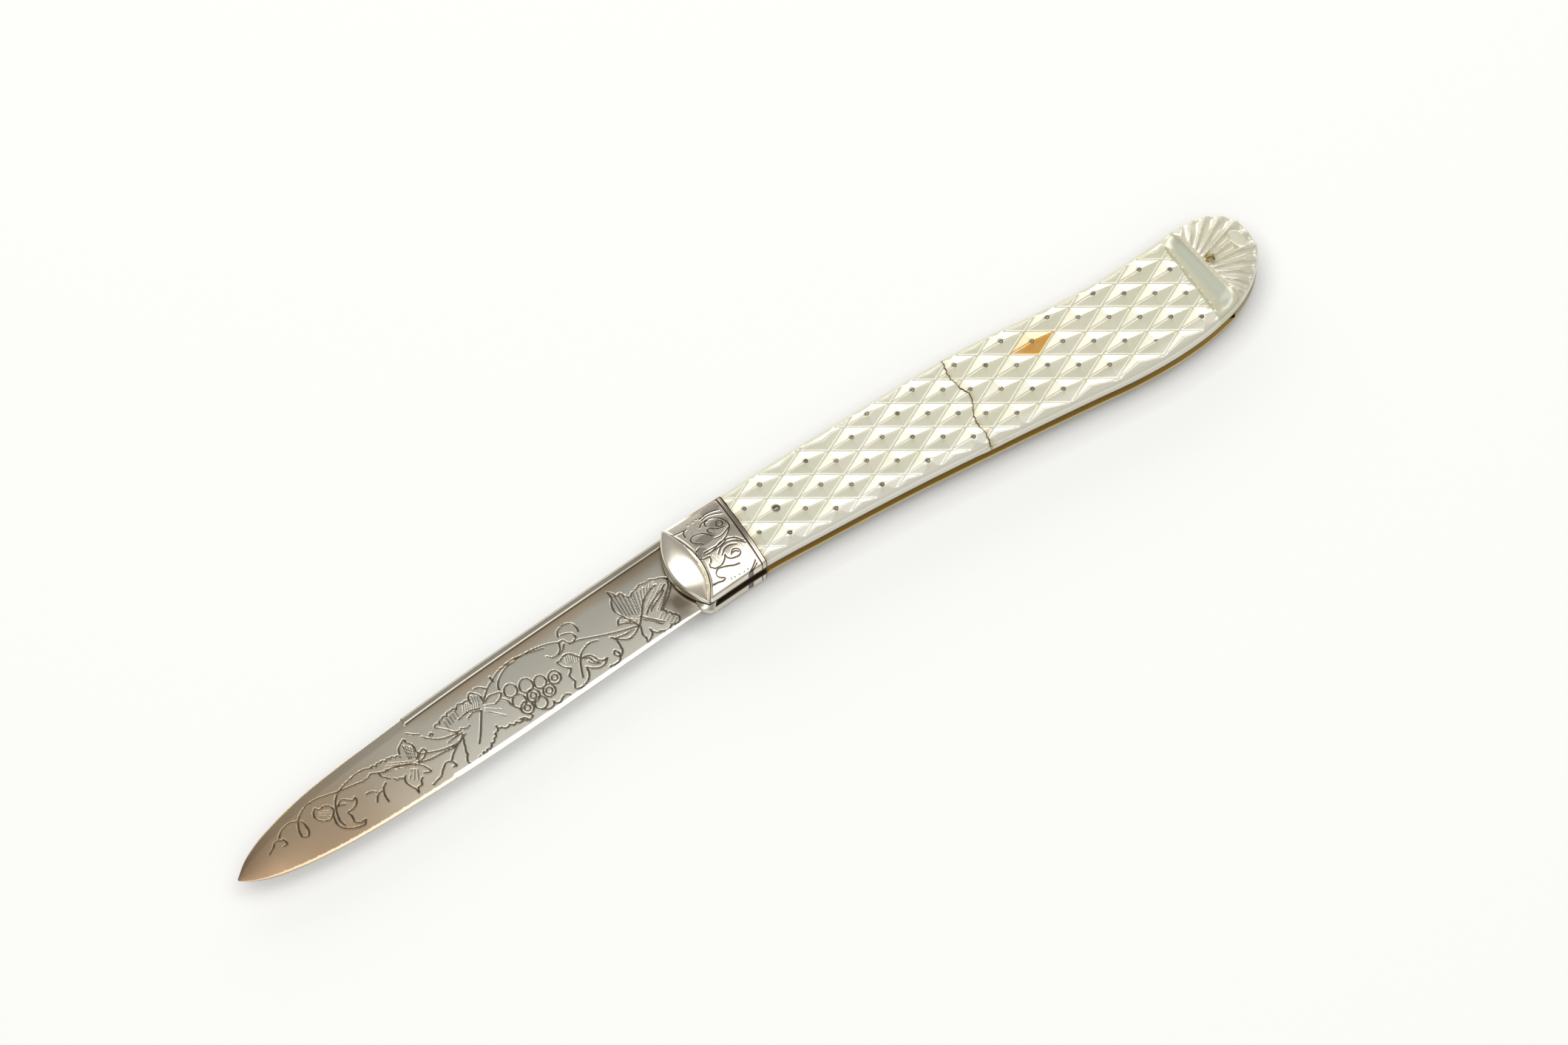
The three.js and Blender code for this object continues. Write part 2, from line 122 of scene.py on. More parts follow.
# Distance to the nearest point of a polyline, segment by segment, the smallest kept
def gapTo(x, y, path):
    nearest = np.full(x.shape, 1e9)
    for (ax, ay), (bx, by) in zip(path[:-1], path[1:]):
        dx, dy = bx - ax, by - ay
        share = ((x - ax) * dx + (y - ay) * dy) / (dx * dx + dy * dy + 1e-12)
        share = np.clip(share, 0, 1)
        nearest = np.minimum(nearest, np.hypot(x - ax - share * dx, y - ay - share * dy))
    return nearest


# How deep each point lies in a set of cuts, 0 to 1: a vee across each cut, the deepest kept
def cutField(x, y, cuts):
    depth = np.zeros(x.shape)
    for path, half, strength in cuts:
        low, high = path.min(0) - half, path.max(0) + half
        near = (x > low[0]) & (x < high[0]) & (y > low[1]) & (y < high[1])
        vee = strength * np.clip(1 - gapTo(x[near], y[near], path) / half, 0, 1)
        depth[near] = np.maximum(depth[near], vee)
    return depth


# 0 below the first value, 1 above the second, an S between them
def ease(value, start, end):
    t = np.clip((value - start) / (end - start), 0, 1)
    return t * t * (3 - 2 * t)


# Slow waves that wander between -1 and 1 over the surface: three crossed sines
def wander(x, y, length, phase=0.0):
    k = 2 * math.pi / length
    return (
        np.sin(k * x + 1.7 * np.sin(0.6 * k * y + phase) + phase)
        + np.sin(0.8 * k * y + 1.3 * np.sin(0.7 * k * x + 2.1 * phase))
        + np.sin(0.55 * k * (x + y) + 3.3 * phase)
    ) / 3


# Meshes

# Puts points in mm and faces into a mesh; faces are an array of quads and a list of larger ones.
# The signed volume says which way the faces point, and they are turned to point outwards
def putMesh(name, points, quads, caps, finish, marks=None):
    sides = np.vstack([quads[:, [0, 1, 2]], quads[:, [0, 2, 3]]])
    a, b, c = points[sides[:, 0]], points[sides[:, 1]], points[sides[:, 2]]
    if np.einsum("ij,ij->i", a, np.cross(b, c)).sum() < 0:
        quads = quads[:, ::-1]
        caps = [cap[::-1] for cap in caps]
    mesh = bpy.data.meshes.new(name)
    sizes = np.array([4] * len(quads) + [len(cap) for cap in caps], np.int32)
    corners = np.concatenate([quads.ravel(), *caps]).astype(np.int32)
    mesh.vertices.add(len(points))
    mesh.vertices.foreach_set("co", ((points + pivotAt) * 0.001).astype(np.float32).ravel())
    mesh.loops.add(len(corners))
    mesh.loops.foreach_set("vertex_index", corners)
    mesh.polygons.add(len(sizes))
    mesh.polygons.foreach_set("loop_start", (np.cumsum(sizes) - sizes).astype(np.int32))
    mesh.polygons.foreach_set("use_smooth", np.ones(len(sizes), bool))
    mesh.update(calc_edges=True)
    mesh.validate()
    mesh.set_sharp_from_angle(angle=math.radians(55))
    for mark, values in (marks or {}).items():
        layer = mesh.attributes.new(mark, "FLOAT", "POINT")
        layer.data.foreach_set("value", values.astype(np.float32).ravel())
    mesh.materials.append(finish)
    piece = bpy.data.objects.new(name, mesh)
    scene.collection.objects.link(piece)
    return piece


# Rows of closed rings joined by quads, with one face over each end
def tubeMesh(name, rings, finish, marks=None):
    rows, count = rings.shape[:2]
    index = np.arange(rows * count).reshape(rows, count)
    after = np.roll(index, -1, axis=1)
    quads = np.stack([index[:-1], after[:-1], after[1:], index[1:]], axis=-1).reshape(-1, 4)
    caps = [index[0][::-1], index[-1]]
    return putMesh(name, rings.reshape(-1, 3), quads, caps, finish, marks)


# A carved top over a flat underside: every row runs over the top from rim to rim and back along
# the underside; a row at each end brings the top down to the underside as an upright wall
def slabMesh(name, x, y, z, base, finish, marks=None):
    # The first and the last row once more
    def walled(values):
        return np.concatenate([values[:1], values, values[-1:]])

    # The first and the last value of each row once more
    def rounded(values):
        return np.concatenate([values[:, :1], values, values[:, -1:]], axis=1)

    z = walled(z)
    z[0], z[-1] = base, base
    z = rounded(z)
    z[:, 0], z[:, -1] = base, base
    rings = np.stack([rounded(walled(x)), rounded(walled(y)), z], axis=-1)
    grown = {mark: rounded(walled(values)) for mark, values in (marks or {}).items()}
    return tubeMesh(name, rings, finish, grown)


# An outline carried between two heights, its four edges taken off by a small round
def plateMesh(name, outline, bottom, top, edge, finish):
    along = np.roll(outline, -1, axis=0) - np.roll(outline, 1, axis=0)
    along /= np.maximum(np.linalg.norm(along, axis=1)[:, None], 1e-9)
    area = np.sum(outline[:, 0] * np.roll(outline[:, 1], -1) - outline[:, 1] * np.roll(outline[:, 0], -1))
    inwards = np.stack([-along[:, 1], along[:, 0]], axis=1) * np.sign(area)
    heights = [(bottom, edge), (bottom + edge, 0), (top - edge, 0), (top, edge)]
    rings = [np.column_stack([outline + inset * inwards, np.full(len(outline), z)]) for z, inset in heights]
    return tubeMesh(name, np.array(rings), finish)


# Round pieces: a profile of radius and height turned about an upright axis, once at each place
def turnedMesh(name, places, profile, sides, finish, tilt=None):
    angle = np.linspace(0, 2 * math.pi, sides, endpoint=False)
    ring = np.stack([np.cos(angle), np.sin(angle)], axis=1)
    radius, height = np.array(profile).T
    rows = len(profile)
    one = np.concatenate(
        [radius[:, None, None] * ring[None], np.broadcast_to(height[:, None, None], (rows, sides, 1))],
        axis=2,
    ).reshape(-1, 3)
    centres = np.column_stack([places, np.zeros(len(places))])
    points = one[None] + centres[:, None]
    if tilt is not None:
        points[..., 2] += np.einsum("ik,jk->ij", tilt, one[:, :2])
    index = np.arange(rows * sides).reshape(rows, sides)
    after = np.roll(index, -1, axis=1)
    quads = np.stack([index[:-1], after[:-1], after[1:], index[1:]], axis=-1).reshape(-1, 4)
    shift = (np.arange(len(places)) * rows * sides)[:, None, None]
    caps = [index[0][::-1] + s for s in shift[:, 0, 0]] + [index[-1] + s for s in shift[:, 0, 0]]
    return putMesh(name, points.reshape(-1, 3), (quads[None] + shift).reshape(-1, 4), caps, finish)


# Says what a piece rides on and which nodes it stands for, which are hidden. The finish of the record that
# it is given is not used
def fit(piece, body, slot, *nodes):
    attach(piece, body)
    if nodes:
        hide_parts(*nodes)


# Finishes

# A socket's value: arithmetic on it adds Math nodes
class Wire:
    def __init__(self, finish, socket):
        self.finish = finish
        self.socket = socket

    def worked(self, operation, first, second):
        return self.finish.add("ShaderNodeMath", {"operation": operation}, {0: first, 1: second})

    def __add__(self, other):
        return self.worked("ADD", self, other)

    def __radd__(self, other):
        return self.worked("ADD", other, self)

    def __sub__(self, other):
        return self.worked("SUBTRACT", self, other)

    def __rsub__(self, other):
        return self.worked("SUBTRACT", other, self)

    def __mul__(self, other):
        return self.worked("MULTIPLY", self, other)

    def __rmul__(self, other):
        return self.worked("MULTIPLY", other, self)


# A material with one main shader, and the nodes that are added to it
class Finish:
    def __init__(self, name, shader="ShaderNodeBsdfPrincipled"):
        self.material = bpy.data.materials.new(name)
        self.material.use_nodes = True
        self.tree = self.material.node_tree
        self.tree.nodes.clear()
        self.shader = self.tree.nodes.new(shader)
        self.out = self.tree.nodes.new("ShaderNodeOutputMaterial")
        self.tree.links.new(self.shader.outputs[0], self.out.inputs[0])

    # One node: its settings first, then the values or wires of its sockets
    def add(self, kind, settings=None, inputs=None, output=0):
        node = self.tree.nodes.new(kind)
        for key, value in (settings or {}).items():
            setattr(node, key, value)
        self.plug(node, inputs or {})
        return Wire(self, node.outputs[output])

    # Sets inputs of a node: a wire is linked, a colour gets its alpha, any other value is set
    def plug(self, node, inputs):
        for key, value in inputs.items():
            if isinstance(value, Wire):
                self.tree.links.new(value.socket, node.inputs[key])
            elif isinstance(value, tuple) and node.inputs[key].type == "RGBA":
                node.inputs[key].default_value = (*value, 1)
            else:
                node.inputs[key].default_value = value

    # Object coordinates in mm
    def place(self):
        where = self.add("ShaderNodeTexCoord", output="Object")
        return self.add("ShaderNodeVectorMath", {"operation": "SCALE"}, {0: where, "Scale": 1000.0})

    # Coordinates turned about z, in degrees, and scaled along each axis
    def stretched(self, where, scale, turn=0.0):
        turned = {"Vector": where, "Rotation": (0, 0, math.radians(turn)), "Scale": scale}
        return self.add("ShaderNodeMapping", None, turned)

    # Soft noise, about 0.5 in the middle
    def noise(self, where, scale, detail=2.0, rough=0.5):
        settings = {"Vector": where, "Scale": scale, "Detail": detail, "Roughness": rough}
        return self.add("ShaderNodeTexNoise", None, settings)

    # A mark that the mesh carries at its points, 0 to 1
    def mark(self, name):
        return self.add("ShaderNodeAttribute", {"attribute_name": name}, output="Fac")

    # A value carried from one range to 0..1, held at the ends
    def spread(self, value, low, high):
        ranges = {"Value": value, "From Min": low, "From Max": high}
        return self.add("ShaderNodeMapRange", {"clamp": True}, ranges)

    # First colour x (1 - share) + second colour x share
    def blend(self, share, first, second):
        inputs = {0: share, 6: first, 7: second}
        return self.add("ShaderNodeMix", {"data_type": "RGBA"}, inputs, output=2)

    # Normals tilted as if the surface rose by height x distance
    def bump(self, height, distance, strength=1.0):
        settings = {"Height": height, "Distance": distance, "Strength": strength}
        return self.add("ShaderNodeBump", None, settings)

    # The main shader's inputs, underscores in their names for spaces
    def done(self, **inputs):
        self.plug(self.shader, {key.replace("_", " "): value for key, value in inputs.items()})
        return self.material


# A colour given as it looks on a screen, 0 to 255, as the linear one that a shader takes
def seen(red, green, blue):
    return tuple((value / 255) ** 2.2 for value in (red, green, blue))


pearlLook = {
    "white": seen(233, 230, 202),
    "green": seen(224, 223, 186),
    "rose": seen(234, 225, 196),
    "hollow": seen(172, 181, 156),
    "yellow": seen(214, 190, 112),
    "amber": seen(224, 156, 40),
    "pale": seen(252, 249, 228),
    "brown": seen(70, 54, 28),
    "sheen": 0.1,  # share of the light that it throws back like a metal
    "gloss": 3.0,  # index of refraction
}


# Mother-of-pearl: clouds of white, green and rose over fine layers, and from the marks stains, painted
# shade and painted light
def pearlFinish():
    f = Finish("mother_of_pearl")
    here = f.place()
    cloud = f.noise(f.stretched(here, (0.09, 0.2, 0.2), 24), 1.0, 3.0, 0.55)
    layers = f.noise(f.stretched(here, (0.5, 2.6, 1.4), -14), 1.0, 4.0, 0.6)
    veil = f.noise(here, 0.22, 2.0)
    colour = f.blend(f.spread(cloud, 0.35, 0.7), pearlLook["white"], pearlLook["green"])
    colour = f.blend(f.spread(veil, 0.5, 0.75) * 0.6, colour, pearlLook["rose"])
    colour = f.blend(f.spread(layers, 0.4, 0.75) * 0.07, colour, pearlLook["hollow"])
    colour = f.blend(f.mark("hollow") * 0.9, colour, pearlLook["hollow"])
    colour = f.blend(f.mark("pale"), colour, pearlLook["pale"])
    colour = f.blend(f.mark("yellow"), colour, pearlLook["yellow"])
    colour = f.blend(f.mark("amber"), colour, pearlLook["amber"])
    colour = f.blend(f.mark("brown"), colour, pearlLook["brown"])
    rough = 0.2 + layers * 0.1 + f.mark("hollow") * 0.15
    sheen = pearlLook["sheen"] * (1.25 - 0.5 * cloud) * (1 - 0.8 * f.mark("hollow"))
    sheen = sheen + f.mark("amber") * 0.85
    skin = f.bump(layers, 0.000006, 0.3)
    return f.done(
        Base_Color=colour, Roughness=rough, Metallic=sheen, Normal=skin, IOR=pearlLook["gloss"],
        Coat_Weight=0.25, Coat_Roughness=0.1,
    )


bladeLook = {
    "silver": seen(209, 205, 191),
    "warm": seen(194, 172, 142),
    "rust": seen(136, 106, 80),
    "dull": seen(112, 100, 84),
    "cut": seen(88, 78, 62),
    "cutDepth": 0.06,  # of the engraved lines in the grain of the surface, mm
    "rough": 0.19,
}


# Worn silver: a warm brown that deepens to the tip, long scratches, dark in the cuts, and painted shade
# from the marks
def bladeFinish():
    f = Finish("worn_blade_silver")
    here = f.place()
    along = f.add("ShaderNodeSeparateXYZ", None, {0: here}, output="X")
    cloud = f.noise(f.stretched(here, (0.05, 0.12, 0.1), 8), 1.0, 3.0)
    scratch = f.noise(f.stretched(here, (0.3, 10.0, 1.0), 4), 1.0, 3.0, 0.6)
    toTip = f.spread(along + cloud * 24, -30.0, -58.0)
    colour = f.blend(toTip, bladeLook["silver"], bladeLook["warm"])
    colour = f.blend(f.mark("back") * 0.8, colour, bladeLook["warm"])
    colour = f.blend(f.mark("low") * 0.55, colour, bladeLook["rust"])
    tip = f.spread(along + cloud * 9, -66.0, -76.0)
    colour = f.blend(tip * 0.8, colour, bladeLook["rust"])
    # Painted shade at the heel beside the bolster and on the rib's outer slope, and tarnish along the back
    # of the heel
    colour = f.blend(f.mark("dull") * 0.9, colour, bladeLook["dull"])
    colour = f.blend(f.spread(scratch, 0.55, 0.8) * 0.1, colour, bladeLook["cut"])
    colour = f.blend(f.spread(f.mark("cut"), 0.52, 0.78) * 0.95, colour, bladeLook["cut"])
    rough = bladeLook["rough"] + scratch * 0.06 + cloud * 0.05 - f.mark("ground") * 0.06
    skin = f.bump(1 - f.mark("line"), bladeLook["cutDepth"] * 0.001)
    return f.done(Base_Color=colour, Roughness=rough, Normal=skin, Metallic=1.0)


bolsterLook = {
    "silver": seen(243, 237, 221),
    "warm": seen(222, 208, 182),
    "dull": seen(126, 112, 96),
    "cut": seen(64, 52, 40),
    "rough": 0.17,
}


# Engraved silver: a grained ground in the panel, dark in the cuts
def bolsterFinish():
    f = Finish("engraved_bolster_silver")
    here = f.place()
    cloud = f.noise(here, 0.35, 3.0)
    grain = f.noise(f.stretched(here, (9.0, 1.2, 3.0), 35), 1.0, 3.0, 0.7)
    colour = f.blend(f.spread(cloud, 0.4, 0.7) * 0.5, bolsterLook["silver"], bolsterLook["warm"])
    colour = f.blend(f.mark("panel") * f.spread(grain, 0.45, 0.8) * 0.2, colour, bolsterLook["cut"])
    # Tarnish in the ground between the scrolls, and painted shade along the top edge, over the rim's upper
    # part and on the panel's lower left
    colour = f.blend(f.mark("dull"), colour, bolsterLook["dull"])
    colour = f.blend(f.spread(f.mark("cut"), 0.35, 0.7) * 0.92, colour, bolsterLook["cut"])
    rough = bolsterLook["rough"] + cloud * 0.06 + f.mark("panel") * 0.03
    skin = f.bump(grain * f.mark("panel"), 0.000006, 0.3)
    return f.done(Base_Color=colour, Roughness=rough, Normal=skin, Metallic=1.0)


# Plain metals: a base colour clouded with a darker tarnish, drawn along the piece. The slot gets painted
# shade: the middle layers of the knife, and more so all that lies under the bolsters
def metalFinish(name, clean, tarnish, amount, rough, drawn, slot=0.0):
    f = Finish(name)
    here = f.place()
    cloud = f.noise(f.stretched(here, (0.14, 0.5, 0.5), 5), 1.0, 4.0, 0.6)
    grain = f.noise(f.stretched(here, drawn), 1.0, 3.0, 0.7)
    colour = f.blend(f.spread(cloud, 0.3, 0.72) * amount, clean, tarnish)
    colour = f.blend(f.spread(grain, 0.45, 0.8) * 0.35, colour, tarnish)
    if slot:
        away = f.add("ShaderNodeSeparateXYZ", None, {0: here}, output="Z") - float(pivotAt[2])
        away = f.add("ShaderNodeMath", {"operation": "ABSOLUTE"}, {0: away})
        along = f.add("ShaderNodeSeparateXYZ", None, {0: here}, output="X") - float(pivotAt[0])
        inside = f.spread(away, slotShade["outer"], slotShade["inner"])
        colour = f.blend(inside * slot, colour, slotShade["colour"])
        # Painted shade, nearly black, in the slot under the bolsters
        deep = f.spread(along, slotShade["rear"], slotShade["front"]) * f.spread(along, -4.6, -4.2)
        colour = f.blend(deep * slot, colour, slotShade["black"])
    skin = f.bump(grain, 0.00002, 0.5)
    return f.done(Base_Color=colour, Roughness=rough + grain * 0.15, Normal=skin, Metallic=1.0)


# Painted shade in the slot between the liners
slotShade = {
    "outer": 0.72,  # distances from the middle of the knife between which the painted shade comes in, mm
    "inner": 0.66,
    "rear": 4.9,  # and along the knife, mm from the pivot, where the painted shade is black
    "front": 4.4,
    "colour": seen(164, 134, 70),
    "black": seen(58, 47, 34),
}
pearl = pearlFinish()
bladeSilver = bladeFinish()
bolsterSilver = bolsterFinish()
linerBrass = metalFinish(
    "liner_brass", seen(236, 206, 140), seen(140, 106, 52), 0.4, 0.24, (0.6, 2.0, 9.0), slot=1.0
)
# The front liner's brass, darker: painted shade that the front scale casts on it
paintedShadeBrass = metalFinish(
    "liner_brass_shaded", seen(110, 82, 36), seen(56, 40, 14), 0.6, 0.3, (0.6, 2.0, 9.0), slot=1.0
)
springSteel = metalFinish(
    "spring_steel", seen(176, 164, 136), seen(96, 80, 52), 0.6, 0.34, (0.5, 1.5, 8.0)
)
rivetBrass = metalFinish(
    "rivet_bronze", seen(168, 150, 100), seen(56, 44, 20), 0.8, 0.26, (5.0, 5.0, 5.0)
)
pinSilver = metalFinish(
    "pin_silver", seen(176, 166, 148), seen(60, 50, 36), 0.65, 0.12, (8.0, 8.0, 8.0)
)
print("finishes made")

# Handle outline
handle = {
    "rim": [
        (-4.5, -5.25), (4.5, -4.75), (13.7, -5.05), (26.8, -5.69), (40, -6.72), (52.8, -7.86),
        (59.5, -8.5), (66, -8.6), (72, -7.95), (76.8, -6.6), (79.6, -4.95), (81.7, -2.9),
        (82.9, -1), (83.05, 0.8), (82.7, 3.3), (81.3, 5.15), (79.2, 6.3), (76.5, 6.65),
        (71, 6.25), (64.5, 5.85), (58, 5.95), (52, 6.4), (46, 6.95), (40, 7.25), (33, 7.25),
        (22, 7.1), (12.5, 6.85), (4.5, 6.45), (-4.5, 6.1),
    ],
    "tail": 83.05,  # the rim stays inside these three
    "lowest": -8.64,
    "highest": 7.27,
    "nose": (-6.95, 0.45),  # foremost point of the bolsters
    "slotHalf": 0.65,
    "base": 1.05,  # underside of scales and bolsters
    "edge": 0.05,  # round taken off the liners' edges
}
rim = smoothThrough(handle["rim"], 16)
rim[:, 0] = np.minimum(rim[:, 0], handle["tail"])
rim[:, 1] = np.clip(rim[:, 1], handle["lowest"], handle["highest"])
frontX = handle["rim"][0][0]
tailAt = int(np.argmax(rim[:, 0]))
tailX = float(rim[tailAt, 0])
lowerRim, upperRim = rim[: tailAt + 1], rim[tailAt:][::-1]


# Height of the lower and of the upper rim at a place along the handle
def rimHeights(x):
    low = np.interp(x, lowerRim[:, 0], lowerRim[:, 1])
    return low, np.interp(x, upperRim[:, 0], upperRim[:, 1])


# Arc through three points: the parabola with the middle one halfway
def arcThrough(start, middle, end, steps):
    start, middle, end = np.array(start), np.array(middle), np.array(end)
    t = np.linspace(0, 1, steps)[:, None]
    control = 2 * middle - (start + end) / 2
    return (1 - t) ** 2 * start + 2 * t * (1 - t) * control + t**2 * end


nose = arcThrough(handle["rim"][-1], handle["nose"], handle["rim"][0], 60)
handleOutline = np.vstack([rim, nose[1:-1]])

for name, side, brass in (("liner_front", 1, paintedShadeBrass), ("liner_back", -1, linerBrass)):
    heights = sorted((side * handle["slotHalf"], side * handle["base"]))
    fit(
        plateMesh(name + "_plate", handleOutline, *heights, handle["edge"], brass),
        "handle", "liner_brass", name,
    )

# Backspring, along the back of the slot and round the tail
spring = {
    "end": -1.7,  # against the blade's shoulder
    "bearing": 4.23,  # height of the face that the tang turns against
    "bearingRear": 2.2,
    "inside": [
        (3.4, 5.5), (6.3, 5.45), (7.6, 4.75), (14, 4.5), (30, 4.05), (40, 3.7), (50, 3.1), (60, 1.9),
        (66, 0.6), (70, -0.7), (73.3, -3), (75, -5.5), (75.3, -7.15),
    ],
    "halfThickness": 0.64,
    "edge": 0.06,  # round taken off its edges
}


# Outline of the spring: its bearing, its inside line, and the rim from there round to its end
def springOutline():
    inside = smoothThrough(spring["inside"], 8)
    outside = rim[(np.arange(len(rim)) < tailAt) | (rim[:, 0] > spring["end"])]
    outside = outside[(outside[:, 0] > spring["inside"][-1][0]) | (outside[:, 1] > 0)]
    first = [spring["end"], rimHeights(spring["end"])[1]]
    start = [[spring["end"], spring["bearing"]], [spring["bearingRear"], spring["bearing"]]]
    return np.vstack([start, inside, outside, [first]])


springHalf = spring["halfThickness"]
fit(
    plateMesh("backspring_bar", springOutline(), -springHalf, springHalf, spring["edge"], springSteel),
    "handle", "steel", "backspring",
)
print("liners and spring made")

# Pins in the tops of the pyramids, and rivets
pins = {
    "radius": 0.3,
    "profile": [(0.3, 2.2), (0.3, 3.1), (0.285, 3.15), (0.24, 3.195), (0.16, 3.225), (0.06, 3.24)],
    "margin": 1.25,  # least distance from the rim
    "bolsterMargin": 0.75,
    "bandMargin": 0.8,
    "rivetMargin": 1.5,
    "crackMargin": 0.15,
    "sides": 14,
    "lean": 0.015,  # spread of the slope of their heads
}
rivets = {
    "scaleAt": (9.43, 0.8),
    "scaleRadius": 0.5,
    "tailRadius": 0.6,
    "top": 3.24,
}

# Scales: pyramids, a hollow band and a fan of flutes, carved into a slab with a rounded rim
carving = {
    "front": 4.53,  # against the bolster
    "top": 3.17,
    "edgeRadius": 2.6,
    "edgeDrop": 1.4,
    "turn": -3.0,  # degrees from +X to the long axis of the pyramids
    "halfAngle": 29.7,  # degrees from that axis to each family of grooves
    "grooveDepth": 0.62,
    "apexFlat": 0.24,
    "ridge": (75.16, -0.1235),  # ridge ahead of the fan: x at y = 0, and its lean
    "bandEdge": (72.28, -0.014),  # where the pyramids end
    "bandDepth": 0.42,
    "rivet": (76.2, 0.2),
    "fluteCentre": (72.4, 0.0),  # where the flutes would meet
    "fluteAngle": 11.2,  # degrees from one to the next
    "fluteTurn": 0.3,
    "fluteDepth": 0.66,
    "bead": (0.19, 0.15),  # raised line between two flutes: half its width, and its height
    "fluteStart": (0.35, 3.4),  # behind the ridge, where they begin and where they are full
    "chip": (80.9, 0.8),
    "chipSize": (0.95, 1.5),
    "chipDepth": 0.15,
    "creaseStain": 0.3,  # painted shade, brown, on one side of each raised line of the fan
    "tailBend": 5.0,  # from here to the tail the stations close up
    "tailArc": 8.2,
    "crack": [
        (39.4, 12), (38.85, 6.5), (38.4, 5), (38.45, 4), (38.8, 2), (39.2, 0.75), (38.95, -0.15),
        (37.95, -2), (37.7, -3), (37.88, -4.85), (37.55, -6.5), (37.95, -7.3), (38.4, -12),
    ],
    "crackMiddle": 38.5,
    "crackGap": 0.09,
    "crackRough": 0.045,
    "backInset": 0.3,  # the back scale ends this far inside the liner's edge
    "step": 0.115,  # of the grid
    "backStep": 0.15,
}
foreLattice = {"apex": (26.33, 1.79), "pitch": 3.91}
rearLattice = {"apex": (60.42, 0.25), "pitch": 4.0}
stainedAt = (1394, 464)  # pixel of the pyramid that is stained amber
emptyHoleAt = (1562, 460)  # pixel of the pyramid that has lost its pin


# How far each point lies along the two axes of a lattice, counted in pitches from its first apex
def latticeSteps(lattice, x, y):
    a = math.radians(carving["turn"] - carving["halfAngle"])
    b = math.radians(carving["turn"] + carving["halfAngle"])
    dx, dy = x - lattice["apex"][0], y - lattice["apex"][1]
    spacing = lattice["pitch"] * math.sin(b - a)
    along = (dx * math.sin(b) - dy * math.cos(b)) / spacing
    across = (dy * math.cos(a) - dx * math.sin(a)) / spacing
    return along, across, spacing


# Apexes of a lattice: whole steps along both of its axes
def latticePlaces(lattice, reach=24):
    a = math.radians(carving["turn"] - carving["halfAngle"])
    b = math.radians(carving["turn"] + carving["halfAngle"])
    i, j = np.meshgrid(np.arange(-reach, reach + 1), np.arange(-reach, reach + 1))
    x = lattice["apex"][0] + lattice["pitch"] * (i * math.cos(a) + j * math.cos(b))
    y = lattice["apex"][1] + lattice["pitch"] * (i * math.sin(a) + j * math.sin(b))
    return np.column_stack([x.ravel(), y.ravel()])


# Where the crack runs at each height: straight from point to point, with jags of three sines
def crackAt(y):
    line = np.array(carving["crack"])[::-1]
    jags = carving["crackRough"] * (np.sin(7.3 * y) + 0.6 * np.sin(17.9 * y + 1) + 0.4 * np.sin(31 * y))
    return np.interp(y, line[:, 1], line[:, 0]) + jags


# How far each point lies across the hollow band: 0 where the pyramids end, 1 at the ridge
def bandShare(x, y):
    edge = carving["bandEdge"][0] + carving["bandEdge"][1] * y
    ridge = carving["ridge"][0] + carving["ridge"][1] * y
    return (x - edge) / (ridge - edge), x - edge


# Tops of the pyramids that hold a pin: those far enough from bolster, band, rim, rivet and crack
def pinPlaces(lattice, side=0):
    places = latticePlaces(lattice)
    x, y = places.T
    low, high = rimHeights(np.clip(x, frontX, tailX))
    keep = (x > carving["front"] + pins["bolsterMargin"]) & (bandShare(x, y)[1] < -pins["bandMargin"])
    keep &= (y > low) & (y < high) & (gapTo(x, y, rim) > pins["margin"])
    keep &= np.hypot(x - rivets["scaleAt"][0], y - rivets["scaleAt"][1]) > pins["rivetMargin"]
    if side:
        keep &= side * (x - crackAt(y)) > pins["crackMargin"]
    return places[keep]


frontPins = np.vstack([pinPlaces(foreLattice, -1), pinPlaces(rearLattice, 1)])
lost = np.argmin(np.hypot(*(frontPins - onFace([emptyHoleAt], carving["top"])[0]).T))
emptyHole = frontPins[lost]
frontPins = np.delete(frontPins, lost, axis=0)
backPins = pinPlaces(rearLattice)


